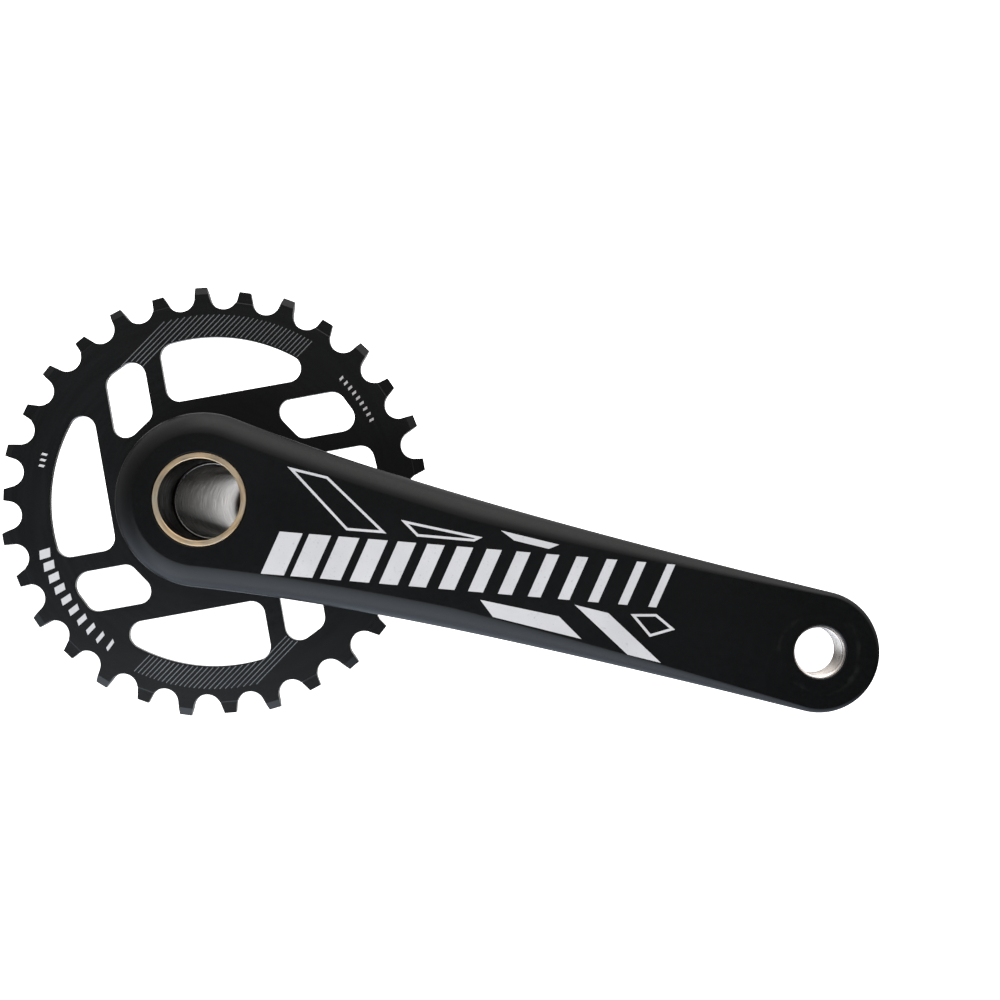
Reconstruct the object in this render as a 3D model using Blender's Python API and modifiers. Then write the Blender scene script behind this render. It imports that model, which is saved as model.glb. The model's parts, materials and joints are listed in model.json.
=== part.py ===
"""Bicycle crank unit with its external-cup bottom bracket.

The unit is modelled as seen from its drive side, in a view frame whose x runs along the crank
arm, y runs up and z runs outboard along the spindle axis. The empties turn that frame into the
world: x stays +X, y becomes +Z and z becomes -Y. The origin is the middle of the bottom bracket.
"""

import math

import bmesh
import bpy
from mathutils import Matrix

MM = 0.001
GAP = 0.3 * MM                      # clearance between neighbouring pieces
MERGE = 0.01 * MM
OVERRUN = 1.0 * MM                  # how far a cutter runs past the face it cuts

# Chain drive
TEETH = 30
CHAIN_PITCH = 12.7 * MM
ROLLER_SEAT_RADIUS = 4.15 * MM
PITCH_RADIUS = CHAIN_PITCH / (2 * math.sin(math.pi / TEETH))
NARROW_TIP_RADIUS = 62.15 * MM
WIDE_TIP_RADIUS = 63.2 * MM
TOOTH_PITCH = math.tau / TEETH
TOOTH_TIP_HALF_ANGLE = math.radians(1.55)
TOOTH_LEAN = math.radians(0.25)     # the roller seats sit this far behind the middle of the gap
NARROW_TOOTH_THICKNESS = 2.2 * MM
TIP_CHAMFER_RADIUS = 61.0 * MM
TIP_CHAMFER_DEPTH = 1.1 * MM
SEAT_HALF_ANGLE = math.radians(72)
RELIEF_INNER_RADIUS = PITCH_RADIUS - 2.2 * MM   # where the thinning of a narrow tooth starts
RELIEF_WIDTH = 7.4 * MM
RELIEF_LENGTH = 10.0 * MM

# Chainring plate
CHAIN_LINE = 52.0 * MM
RING_THICKNESS = 3.8 * MM
RING_OUTBOARD = CHAIN_LINE + RING_THICKNESS / 2
RING_INBOARD = CHAIN_LINE - RING_THICKNESS / 2
RIM_INNER_RADIUS = 48.3 * MM
WINDOW_TURN = math.radians(114)     # direction of the first spoke line's normal
WINDOW_COUNT = 4
SPOKE_LINE = 30.7 * MM              # the straight inner edge of each large window
WINDOW_END = 8.6 * MM
WINDOW_CORNER = 4.0 * MM
SLOT_NEAR = 13.6 * MM
SLOT_FAR = 25.7 * MM
SLOT_BASE = 23.0 * MM
SLOT_CORNER = 4.2 * MM
HUB_FLAT = 30.6 * MM                # the flat on the hub that slants across the foot of each slot
HUB_FLAT_TURN = math.radians(124)   # direction of that flat's normal
HUB_CORNER = 3.6 * MM
WEB_THICKNESS = 2.1 * MM            # between hub and rim, where the inboard face is milled away
WEB_INNER_RADIUS = 28.0 * MM
WEB_OUTER_RADIUS = 53.0 * MM

# Direct mount between chainring and arm
SPLINE_ROOT_SHARE = 0.29            # half widths of a spline tooth, as shares of the spline's pitch
SPLINE_TIP_SHARE = 0.19
SPLINE_COUNT = 18
SPLINE_ROOT_RADIUS = 14.9 * MM
SPLINE_TIP_RADIUS = 15.9 * MM
SPIGOT_INBOARD = RING_INBOARD + 0.6 * MM
BOLT_COUNT = 3
BOLT_CIRCLE_RADIUS = 20.5 * MM
BOLT_SHANK_RADIUS = 2.0 * MM
BOLT_SHANK_LENGTH = 11.0 * MM
BOLT_HEAD_RADIUS = 3.4 * MM
BOLT_HEAD_HEIGHT = 1.9 * MM
BOLT_SOCKET_RADIUS = 1.9 * MM
BOLT_SOCKET_DEPTH = 1.3 * MM
BOLT_SOCKET_LOBES = 6
BOLT_SOCKET_WAIST = 0.72            # the socket's smallest radius as a share of its largest
BOLT_TIP_CHAMFER = 0.5 * MM
BOLT_HEAD_CHAMFER = 0.3 * MM

# Crank arm
ARM_LENGTH = 175.0 * MM
BOSS_RADIUS = 24.5 * MM
PEDAL_END_RADIUS = 16.6 * MM
BOSS_TANGENT = math.radians(82)     # where the boss circle runs into the arm's edge
EDGE_CONTROL = (55.0 * MM, 17.3 * MM)
EDGE_END_X = 150.0 * MM
BOSS_FACE = 78.0 * MM               # outboard face at the boss
PEDAL_FACE = 86.0 * MM              # outboard face at the pedal end
PEDAL_BACK = PEDAL_FACE - 13.0 * MM
BOSS_BACK = RING_OUTBOARD + GAP
ARM_BACK = 61.5 * MM                # inboard face just outboard of the chain
FACE_RISE_START = 20.0 * MM
FACE_RISE_END = 155.0 * MM
BACK_STEP_START = 25.0 * MM
BACK_STEP_END = 37.0 * MM
BEVEL_WIDTH = 6.3 * MM
BEVEL_WIDTH_AT_PEDAL = 1.3 * MM
BEVEL_DEPTH = 5.6 * MM
BEVEL_DEPTH_AT_PEDAL = 1.4 * MM
BEVEL_TAPER_START = 75.0 * MM
BACK_BEVEL = 1.6 * MM
BACK_BEVEL_MIDDLE = 0.3             # share of the back bevel's width and depth at its middle edge
BEVEL_SQUARENESS = 1.5              # superellipse exponent: 1 is a flat chamfer, 2 is a round
PEDAL_HOLE_RADIUS = 7.15 * MM
PEDAL_CHAMFER = 0.6 * MM

# Spindle
SPINDLE_CHAMFER = 0.4 * MM
HEAD_RADIUS = 13.0 * MM
HEAD_BORE_RADIUS = 11.4 * MM
HEAD_BORE_DEPTH = 20.0 * MM
HEAD_END = 51.0 * MM
JOURNAL_RADIUS = 12.0 * MM
JOURNAL_BORE_RADIUS = 10.6 * MM
LEFT_BORE_START = -48.0 * MM
LEFT_BORE_TAPER = 3.0 * MM
LEFT_BORE_RADIUS = 8.5 * MM
LEFT_SPLINE_START = -50.0 * MM
LEFT_SPLINE_COUNT = 12
LEFT_SPLINE_DEPTH = 1.0 * MM
LEFT_SPLINE_RUNOUT = 0.5 * MM
LEFT_SPLINE_TIP_RADIUS = JOURNAL_RADIUS - 0.3 * MM
SPINDLE_END = -70.0 * MM

# Bottom bracket
SHELL_HALF_WIDTH = 36.5 * MM
SPACER_WIDTH = 2.5 * MM
SPACER_INSET = 0.5 * MM             # the spacer's rim lies this far inside the cup's flange
THREAD_RADIUS = 17.2 * MM
THREAD_INNER_END = 24.5 * MM
CUP_FLANGE_RADIUS = 22.0 * MM
CUP_FLANGE_EDGE = 0.8 * MM
CUP_BORE_RADIUS = 16.0 * MM
FLANGE_FLOOR = 1.2 * MM             # cup wall inboard of the bearing
BEARING_OUTER_RADIUS = 18.5 * MM
BEARING_WIDTH = 7.0 * MM
BEARING_RECESS = 0.9 * MM           # bearing face below the flange's outer face
NOTCH_COUNT = 16
NOTCH_RADIUS = 1.8 * MM
NOTCH_DEPTH = 6.0 * MM
NOTCH_CENTRE_RADIUS = CUP_FLANGE_RADIUS + 0.4 * MM
SLEEVE_OUTER_RADIUS = 14.4 * MM
SLEEVE_INNER_RADIUS = 13.3 * MM
SLEEVE_HALF_LENGTH = 33.0 * MM
ORING_CENTRE = 28.5 * MM
ORING_RADIUS = 0.5 * MM
BALL_COUNT = 10
BALL_RADIUS = 1.75 * MM
RACE_LAND = 0.62                    # distance from the pitch circle to a race's land, in ball radii
CAGE_HALF_WALL = 0.45               # half of the ball cage's wall, in ball radii
SEAL_THICKNESS = 0.6 * MM
SHIELD_THICKNESS = 1.1 * MM
SHIELD_NECK = 1.2 * MM
SHIELD_EDGE = 0.5 * MM

SIDE_DRIVE = 1
SIDE_LEFT = -1
SIDE_NAME = {SIDE_DRIVE: "drive", SIDE_LEFT: "left"}
FLANGE_START = {SIDE_DRIVE: SHELL_HALF_WIDTH + SPACER_WIDTH, SIDE_LEFT: SHELL_HALF_WIDTH}

# Facets on the round pieces
FINE = 40
MEDIUM = 28
COARSE = 20
SMALL = 12

MATERIAL_LOOKS = {
    "black_anodised": ((0.012, 0.012, 0.014, 1), 0.42, 0.6),
    "bright_metal": ((0.62, 0.60, 0.56, 1), 0.28, 1.0),
    "bearing_steel": ((0.55, 0.56, 0.58, 1), 0.22, 1.0),
    "black_screw": ((0.03, 0.03, 0.032, 1), 0.38, 0.9),
    "black_plastic": ((0.02, 0.02, 0.02, 1), 0.55, 0.0),
    "rubber": ((0.015, 0.015, 0.015, 1), 0.75, 0.0),
}


def material(look):
    """The named material, made the first time it is asked for."""
    made = bpy.data.materials.get(look)
    if made is None:
        colour, roughness, metallic = MATERIAL_LOOKS[look]
        made = bpy.data.materials.new(look)
        made.use_nodes = True
        shader = made.node_tree.nodes["Principled BSDF"]
        shader.inputs["Base Color"].default_value = colour
        shader.inputs["Roughness"].default_value = roughness
        shader.inputs["Metallic"].default_value = metallic
    return made


def clear_scene():
    for old in list(bpy.data.objects):
        bpy.data.objects.remove(old, do_unlink=True)


def new_collection(name):
    collection = bpy.data.collections.new(name)
    bpy.context.scene.collection.children.link(collection)
    return collection


def add_axis(name):
    """An empty on the spindle axis that turns the drive-side view frame into the world."""
    axis = bpy.data.objects.new(name, None)
    axis.rotation_euler = (math.radians(90), 0, 0)
    axis.empty_display_size = 30 * MM
    PARTS.objects.link(axis)
    return axis


def add_mesh(name, mesh, look=None, axis=None):
    """A sub-part when it has a look, and otherwise a cutter."""
    piece = bpy.data.objects.new(name, mesh)
    piece.parent = axis or CUTTER_AXIS
    if look:
        mesh.materials.clear()
        mesh.materials.append(material(look))
        PARTS.objects.link(piece)
    else:
        piece.hide_render = True
        piece.display_type = "WIRE"
        CUTTERS.objects.link(piece)
    return piece


def smooth(piece, angle=35):
    piece.data.shade_smooth()
    piece.data.set_sharp_from_angle(angle=math.radians(angle))
    return piece


def polar(radius, angle):
    return (radius * math.cos(angle), radius * math.sin(angle))


def arc(centre, radius, start, end, count):
    """Points on an arc from one angle to another, both ends included."""
    step = (end - start) / (count - 1)
    return [
        (centre[0] + radius * math.cos(start + i * step), centre[1] + radius * math.sin(start + i * step))
        for i in range(count)
    ]


def rotated(points, angle):
    c, s = math.cos(angle), math.sin(angle)
    return [(x * c - y * s, x * s + y * c) for x, y in points]


def turned(name, profile, steps, look=None, axis=None):
    """A turned piece from a closed loop of (radius, height) points, down the outer side first."""
    mesh = bpy.data.meshes.new(name)
    edges = [(i, (i + 1) % len(profile)) for i in range(len(profile))]
    mesh.from_pydata([(radius, 0, height) for radius, height in profile], edges, [])
    piece = add_mesh(name, mesh, look, axis)
    screw = piece.modifiers.new("turn", "SCREW")
    screw.steps = steps
    screw.render_steps = steps
    screw.use_merge_vertices = True
    screw.merge_threshold = MERGE
    screw.use_smooth_shade = False
    return piece


def ring(name, outer, inner, low, high, steps, look=None, axis=None):
    profile = [(outer, high), (outer, low), (inner, low), (inner, high)]
    return turned(name, profile, steps, look, axis)


def plate(name, outlines, low, high, look=None, axis=None):
    """A flat plate: the first outline is its edge and the others are holes through it."""
    curve = bpy.data.curves.new(name, "CURVE")
    curve.dimensions = "2D"
    curve.fill_mode = "BOTH"
    curve.extrude = (high - low) / 2
    for outline in outlines:
        spline = curve.splines.new("POLY")
        spline.points.add(len(outline) - 1)
        for point, (x, y) in zip(spline.points, outline):
            point.co = (x, y, 0, 1)
        spline.use_cyclic_u = True
    shape = bpy.data.objects.new(name, curve)
    CUTTERS.objects.link(shape)
    graph = bpy.context.evaluated_depsgraph_get()
    mesh = bpy.data.meshes.new_from_object(shape.evaluated_get(graph))
    bpy.data.objects.remove(shape)
    work = bmesh.new()
    work.from_mesh(mesh)
    bmesh.ops.remove_doubles(work, verts=work.verts, dist=MERGE)
    bmesh.ops.translate(work, verts=work.verts, vec=(0, 0, (high + low) / 2))
    work.to_mesh(mesh)
    work.free()
    mesh.name = name
    return add_mesh(name, mesh, look, axis)


def cylinder(name, radius, low, high, sides, centre=(0, 0)):
    """A plain round cutter."""
    mesh = bpy.data.meshes.new(name)
    work = bmesh.new()
    bmesh.ops.create_cone(
        work, cap_ends=True, segments=sides, radius1=radius, radius2=radius, depth=high - low
    )
    bmesh.ops.translate(work, verts=work.verts, vec=(*centre, (high + low) / 2))
    work.to_mesh(mesh)
    work.free()
    return add_mesh(name, mesh)


def boolean(piece, tool, operation="DIFFERENCE"):
    cut = piece.modifiers.new(tool.name, "BOOLEAN")
    cut.operation = operation
    cut.solver = "EXACT"
    cut.object = tool


def spline_outline(root, tip, count):
    """Straight-sided spline teeth, the first one centred on x."""
    pitch = math.tau / count
    outline = []
    for tooth in range(count):
        middle = tooth * pitch
        outline.append(polar(root, middle - SPLINE_ROOT_SHARE * pitch))
        outline.append(polar(tip, middle - SPLINE_TIP_SHARE * pitch))
        outline.append(polar(tip, middle + SPLINE_TIP_SHARE * pitch))
        outline.append(polar(root, middle + SPLINE_ROOT_SHARE * pitch))
    return outline


# ---------------------------------------------------------------- chainring

def tooth_outline():
    """The sprocket's edge: a round seat for each roller and a flat-topped tooth between seats."""
    outline = []
    for tooth in range(TEETH):
        middle = tooth * TOOTH_PITCH
        tip = WIDE_TIP_RADIUS if tooth % 2 else NARROW_TIP_RADIUS
        outline.append(polar(tip, middle - TOOTH_TIP_HALF_ANGLE))
        outline.append(polar(tip, middle + TOOTH_TIP_HALF_ANGLE))
        seat_angle = middle + TOOTH_PITCH / 2 - TOOTH_LEAN
        seat = polar(PITCH_RADIUS, seat_angle)
        inward = seat_angle + math.pi
        outline += arc(
            seat, ROLLER_SEAT_RADIUS, inward + SEAT_HALF_ANGLE, inward - SEAT_HALF_ANGLE, 6
        )
    return outline


def line_crossing(limit_a, limit_b):
    """Where two straight limits (normal angle, distance) cross."""
    (angle_a, reach_a), (angle_b, reach_b) = limit_a, limit_b
    turn = math.sin(angle_b - angle_a)
    x = (reach_a * math.sin(angle_b) - reach_b * math.sin(angle_a)) / turn
    y = (reach_b * math.cos(angle_a) - reach_a * math.cos(angle_b)) / turn
    return (x, y)


def rim_crossing(limit, radius, side):
    """Where a straight limit meets a circle about the axis, on the side asked for."""
    angle, reach = limit
    along = side * math.sqrt(radius ** 2 - reach ** 2)
    return (
        reach * math.cos(angle) - along * math.sin(angle),
        reach * math.sin(angle) + along * math.cos(angle),
    )


def window_outline():
    """A large window: one straight spoke line, one short end and the rim, with round corners."""
    spoke = (-math.pi / 2, -SPOKE_LINE - WINDOW_CORNER)
    end = (math.pi, WINDOW_END - WINDOW_CORNER)
    rim = RIM_INNER_RADIUS - WINDOW_CORNER
    inner = line_crossing(spoke, end)
    far = rim_crossing(spoke, rim, 1)
    near = rim_crossing(end, rim, -1)
    far_angle = math.atan2(far[1], far[0])
    near_angle = math.atan2(near[1], near[0])
    outline = arc(inner, WINDOW_CORNER, math.pi, 1.5 * math.pi, 5)
    outline += arc(far, WINDOW_CORNER, -math.pi / 2, far_angle, 6)
    outline += arc((0, 0), RIM_INNER_RADIUS, far_angle, near_angle, 10)[1:-1]
    outline += arc(near, WINDOW_CORNER, near_angle, math.pi, 5)
    return outline


def slot_outline():
    """A short slot between two spokes, from the hub's slanting flat to the rim."""
    rim = RIM_INNER_RADIUS - SLOT_CORNER
    right_top = rim_crossing((0, -SLOT_NEAR - SLOT_CORNER), rim, 1)
    left_top = rim_crossing((math.pi, SLOT_FAR - SLOT_CORNER), rim, -1)
    right_angle = math.atan2(right_top[1], right_top[0])
    left_angle = math.atan2(left_top[1], left_top[0])
    near = (0, -SLOT_NEAR - HUB_CORNER)
    far = (math.pi, SLOT_FAR - HUB_CORNER)
    base = (-math.pi / 2, -SLOT_BASE - HUB_CORNER)
    flat = (HUB_FLAT_TURN - math.pi, -HUB_FLAT - HUB_CORNER)
    outline = arc(line_crossing(base, far), HUB_CORNER, math.pi, 1.5 * math.pi, 5)
    outline += arc(line_crossing(flat, base), HUB_CORNER, base[0], flat[0], 3)
    outline += arc(line_crossing(near, flat), HUB_CORNER, flat[0], near[0], 4)
    outline += arc(right_top, SLOT_CORNER, 0, right_angle, 5)
    outline += arc(left_top, SLOT_CORNER, left_angle, math.pi, 4)
    return outline


def bolt_places():
    return [
        polar(BOLT_CIRCLE_RADIUS, math.radians(90) + place * math.tau / BOLT_COUNT)
        for place in range(BOLT_COUNT)
    ]


def tip_chamfer(name, face, direction):
    """A turned cutter that slopes the tooth tips away from one face."""
    outside = WIDE_TIP_RADIUS + OVERRUN
    slope = TIP_CHAMFER_DEPTH / (WIDE_TIP_RADIUS - TIP_CHAMFER_RADIUS)
    deep = face - direction * slope * (outside - TIP_CHAMFER_RADIUS)
    clear = face + direction * OVERRUN
    profile = [(outside, clear), (outside, deep), (TIP_CHAMFER_RADIUS, face), (TIP_CHAMFER_RADIUS, clear)]
    if direction < 0:
        profile.reverse()
    return turned(name, profile, 2 * TEETH)


def narrow_tooth_reliefs():
    """Blocks that thin every second tooth from both faces."""
    mesh = bpy.data.meshes.new("narrow_tooth_reliefs")
    work = bmesh.new()
    thinning = RING_THICKNESS - NARROW_TOOTH_THICKNESS
    middle = RELIEF_INNER_RADIUS + RELIEF_LENGTH / 2
    for tooth in range(0, TEETH, 2):
        angle = tooth * TOOTH_PITCH
        for face in (RING_OUTBOARD, RING_INBOARD):
            block = bmesh.ops.create_cube(work, size=1)["verts"]
            bmesh.ops.scale(work, verts=block, vec=(RELIEF_LENGTH, RELIEF_WIDTH, thinning))
            bmesh.ops.translate(work, verts=block, vec=(middle, 0, face))
            bmesh.ops.rotate(work, verts=block, cent=(0, 0, 0), matrix=Matrix.Rotation(angle, 3, "Z"))
    work.to_mesh(mesh)
    work.free()
    return add_mesh("narrow_tooth_reliefs", mesh)


def chainring():
    holes = []
    for quarter in range(WINDOW_COUNT):
        turn = WINDOW_TURN - math.pi / 2 + quarter * math.tau / WINDOW_COUNT
        holes.append(rotated(window_outline(), turn))
        holes.append(rotated(slot_outline(), turn))
    holes.append(spline_outline(SPLINE_ROOT_RADIUS + GAP, SPLINE_TIP_RADIUS + GAP, SPLINE_COUNT))
    for place in bolt_places():
        holes.append(arc(place, BOLT_SHANK_RADIUS + GAP, 0, math.tau * (SMALL - 1) / SMALL, SMALL))
    piece = plate(
        "chainring", [tooth_outline(), *holes], RING_INBOARD, RING_OUTBOARD, "black_anodised", CRANK_AXIS
    )
    boolean(piece, tip_chamfer("tip_chamfer_outboard", RING_OUTBOARD, 1))
    boolean(piece, tip_chamfer("tip_chamfer_inboard", RING_INBOARD, -1))
    boolean(piece, narrow_tooth_reliefs())
    web_low = RING_INBOARD - OVERRUN
    web_high = RING_OUTBOARD - WEB_THICKNESS
    boolean(piece, ring("web_pocket", WEB_OUTER_RADIUS, WEB_INNER_RADIUS, web_low, web_high, 2 * TEETH))
    for number, place in enumerate(bolt_places(), 1):
        seat = cylinder(
            f"bolt_seat_{number}", BOLT_HEAD_RADIUS + GAP, RING_INBOARD - OVERRUN,
            RING_INBOARD + BOLT_HEAD_HEIGHT + GAP, COARSE, place,
        )
        boolean(piece, seat)
    smooth(piece, 25)


def chainring_bolts():
    """Button-flat screws with a six-lobe socket, put in from the inboard side."""
    head_under = RING_INBOARD + BOLT_HEAD_HEIGHT
    lobes = []
    for corner in range(2 * BOLT_SOCKET_LOBES):
        radius = BOLT_SOCKET_RADIUS * (1 if corner % 2 else BOLT_SOCKET_WAIST)
        lobes.append(polar(radius, corner * math.pi / BOLT_SOCKET_LOBES))
    for number, place in enumerate(bolt_places(), 1):
        tip = head_under + BOLT_SHANK_LENGTH
        profile = [
            (0, tip),
            (BOLT_SHANK_RADIUS - BOLT_TIP_CHAMFER, tip),
            (BOLT_SHANK_RADIUS, tip - BOLT_TIP_CHAMFER),
            (BOLT_SHANK_RADIUS, head_under),
            (BOLT_HEAD_RADIUS, head_under),
            (BOLT_HEAD_RADIUS, RING_INBOARD + BOLT_HEAD_CHAMFER),
            (BOLT_HEAD_RADIUS - BOLT_HEAD_CHAMFER, RING_INBOARD),
            (0, RING_INBOARD),
        ]
        bolt = turned(f"chainring_bolt_{number}", profile, 16, "black_screw", CRANK_AXIS)
        bolt.location = (*place, 0)
        moved = [(x + place[0], y + place[1]) for x, y in lobes]
        socket = plate(
            f"bolt_socket_{number}", [moved], RING_INBOARD - OVERRUN, RING_INBOARD + BOLT_SOCKET_DEPTH
        )
        boolean(bolt, socket)
        smooth(bolt)


# ---------------------------------------------------------------- crank arm

def eased(value, start, end):
    """0 before the start, 1 after the end and an even S between them."""
    t = min(max((value - start) / (end - start), 0), 1)
    return t * t * (3 - 2 * t)


def face_height(x):
    return BOSS_FACE + (PEDAL_FACE - BOSS_FACE) * eased(x, FACE_RISE_START, FACE_RISE_END)


def back_height(x):
    step = (ARM_BACK - BOSS_BACK) * eased(x, BACK_STEP_START, BACK_STEP_END)
    sweep = (PEDAL_BACK - ARM_BACK) * eased(x, BACK_STEP_END, FACE_RISE_END)
    return BOSS_BACK + step + sweep


def arm_edge():
    """Half of the arm's outline with its outward directions, from the boss to the pedal end."""
    points = []
    for x, y in arc((0, 0), BOSS_RADIUS, math.pi, BOSS_TANGENT, 15):
        points.append(((x, y), (x / BOSS_RADIUS, y / BOSS_RADIUS)))
    start = polar(BOSS_RADIUS, BOSS_TANGENT)
    end = (EDGE_END_X, PEDAL_END_RADIUS)
    segments = 14
    for i in range(1, segments + 1):
        t = i / segments
        x, y = [
            (1 - t) ** 2 * a + 2 * t * (1 - t) * b + t ** 2 * c
            for a, b, c in zip(start, EDGE_CONTROL, end)
        ]
        dx, dy = [
            2 * (1 - t) * (b - a) + 2 * t * (c - b)
            for a, b, c in zip(start, EDGE_CONTROL, end)
        ]
        length = math.hypot(dx, dy)
        points.append(((x, y), (-dy / length, dx / length)))
    points.append(((0.5 * (EDGE_END_X + ARM_LENGTH), PEDAL_END_RADIUS), (0, 1)))
    for x, y in arc((ARM_LENGTH, 0), PEDAL_END_RADIUS, math.pi / 2, 0, 10):
        points.append(((x, y), ((x - ARM_LENGTH) / PEDAL_END_RADIUS, y / PEDAL_END_RADIUS)))
    return points


def arm_levels():
    """Fractions of the bevel's width and depth for each loop, from the back to the front."""
    levels = [("back", 1.0, 0.0), ("back", BACK_BEVEL_MIDDLE, BACK_BEVEL_MIDDLE), ("back", 0.0, 1.0)]
    bevel_steps = 4
    for i in range(bevel_steps + 1):
        turn = i / bevel_steps * math.pi / 2
        across = math.cos(turn) ** (2 / BEVEL_SQUARENESS)
        up = math.sin(turn) ** (2 / BEVEL_SQUARENESS)
        levels.append(("front", 1 - across, 1 - up))
    return levels


def arm_body():
    """The forged blade, lofted between its edge loops, with a strip across each face."""
    edge = arm_edge()
    half = len(edge)
    loop_length = 2 * half - 2
    work = bmesh.new()
    loops = []
    for side, inset, drop in arm_levels():
        upper = []
        for (x, y), (nx, ny) in edge:
            taper = min(max((x - BEVEL_TAPER_START) / (ARM_LENGTH - BEVEL_TAPER_START), 0), 1)
            if side == "front":
                width = BEVEL_WIDTH + (BEVEL_WIDTH_AT_PEDAL - BEVEL_WIDTH) * taper
                depth = BEVEL_DEPTH + (BEVEL_DEPTH_AT_PEDAL - BEVEL_DEPTH) * taper
                px = x - nx * inset * width
                py = y - ny * inset * width
                upper.append((px, py, face_height(px) - drop * depth))
            else:
                px = x - nx * inset * BACK_BEVEL
                py = y - ny * inset * BACK_BEVEL
                upper.append((px, py, back_height(px) + drop * BACK_BEVEL))
        lower = [(px, -py, pz) for px, py, pz in reversed(upper[1:-1])]
        loops.append([work.verts.new(point) for point in upper + lower])
    for below, above in zip(loops, loops[1:]):
        for i in range(loop_length):
            j = (i + 1) % loop_length
            work.faces.new((below[i], above[i], above[j], below[j]))
    for loop in (loops[0], loops[-1]):
        for i in range(half - 1):
            a, b = loop[i], loop[i + 1]
            c, d = loop[(-i - 1) % loop_length], loop[-i % loop_length]
            corners = [a, b, c, d]
            unique = [v for n, v in enumerate(corners) if v not in corners[:n]]
            work.faces.new(unique)
    bmesh.ops.recalc_face_normals(work, faces=work.faces)
    mesh = bpy.data.meshes.new("drive_arm")
    work.to_mesh(mesh)
    work.free()
    return add_mesh("drive_arm", mesh, "black_anodised", CRANK_AXIS)


def drive_arm():
    arm = arm_body()
    spigot = plate(
        "arm_spigot", [spline_outline(SPLINE_ROOT_RADIUS, SPLINE_TIP_RADIUS, SPLINE_COUNT)],
        SPIGOT_INBOARD, BOSS_BACK + 2 * OVERRUN,
    )
    boolean(arm, spigot, "UNION")
    bore_radius = HEAD_RADIUS + GAP
    boolean(arm, cylinder("arm_bore", bore_radius, SPIGOT_INBOARD - OVERRUN, BOSS_FACE + OVERRUN, FINE))
    mouth = PEDAL_HOLE_RADIUS + PEDAL_CHAMFER
    hole = turned("pedal_hole", [
        (0, PEDAL_FACE + OVERRUN),
        (mouth, PEDAL_FACE + OVERRUN),
        (mouth, PEDAL_FACE),
        (PEDAL_HOLE_RADIUS, PEDAL_FACE - PEDAL_CHAMFER),
        (PEDAL_HOLE_RADIUS, PEDAL_BACK - OVERRUN),
        (0, PEDAL_BACK - OVERRUN),
    ], MEDIUM)
    hole.location.x = ARM_LENGTH
    boolean(arm, hole)
    thread_end = RING_INBOARD + BOLT_HEAD_HEIGHT + BOLT_SHANK_LENGTH + OVERRUN
    for number, place in enumerate(bolt_places(), 1):
        thread = cylinder(
            f"bolt_thread_{number}", BOLT_SHANK_RADIUS + GAP, BOSS_BACK - OVERRUN, thread_end, SMALL, place
        )
        boolean(arm, thread)
    smooth(arm, 30)


# ---------------------------------------------------------------- spindle

def spindle():
    """A tube with a head in the arm, one journal for both bearings and a splined left end."""
    piece = turned("spindle", [
        (HEAD_RADIUS - SPINDLE_CHAMFER, BOSS_FACE),
        (HEAD_RADIUS, BOSS_FACE - SPINDLE_CHAMFER),
        (HEAD_RADIUS, HEAD_END),
        (JOURNAL_RADIUS, HEAD_END),
        (JOURNAL_RADIUS, LEFT_SPLINE_START),
        (LEFT_SPLINE_TIP_RADIUS, LEFT_SPLINE_START),
        (LEFT_SPLINE_TIP_RADIUS, SPINDLE_END + SPINDLE_CHAMFER),
        (LEFT_SPLINE_TIP_RADIUS - SPINDLE_CHAMFER, SPINDLE_END),
        (LEFT_BORE_RADIUS, SPINDLE_END),
        (LEFT_BORE_RADIUS, LEFT_BORE_START),
        (JOURNAL_BORE_RADIUS, LEFT_BORE_START + LEFT_BORE_TAPER),
        (JOURNAL_BORE_RADIUS, BOSS_FACE - HEAD_BORE_DEPTH),
        (HEAD_BORE_RADIUS, BOSS_FACE - HEAD_BORE_DEPTH),
        (HEAD_BORE_RADIUS, BOSS_FACE),
    ], FINE, "bright_metal", CRANK_AXIS)
    root = LEFT_SPLINE_TIP_RADIUS - LEFT_SPLINE_DEPTH
    teeth = spline_outline(root, LEFT_SPLINE_TIP_RADIUS + OVERRUN, LEFT_SPLINE_COUNT)
    surround = arc((0, 0), JOURNAL_RADIUS + 3 * OVERRUN, 0, math.tau * (FINE - 1) / FINE, FINE)
    broach = plate(
        "left_spline_broach", [surround, teeth],
        SPINDLE_END - OVERRUN, LEFT_SPLINE_START - LEFT_SPLINE_RUNOUT,
    )
    boolean(piece, broach)
    smooth(piece)


# ---------------------------------------------------------------- bottom bracket

def flange_face(side):
    """Outer face of a cup's flange, as a distance from the middle."""
    return FLANGE_START[side] + FLANGE_FLOOR + BEARING_WIDTH + BEARING_RECESS


def sided(profile, side):
    """Mirror a (radius, outboard distance) profile to its side, keeping its direction."""
    if side == SIDE_DRIVE:
        return profile
    return [(radius, -distance) for radius, distance in reversed(profile)]


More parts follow.
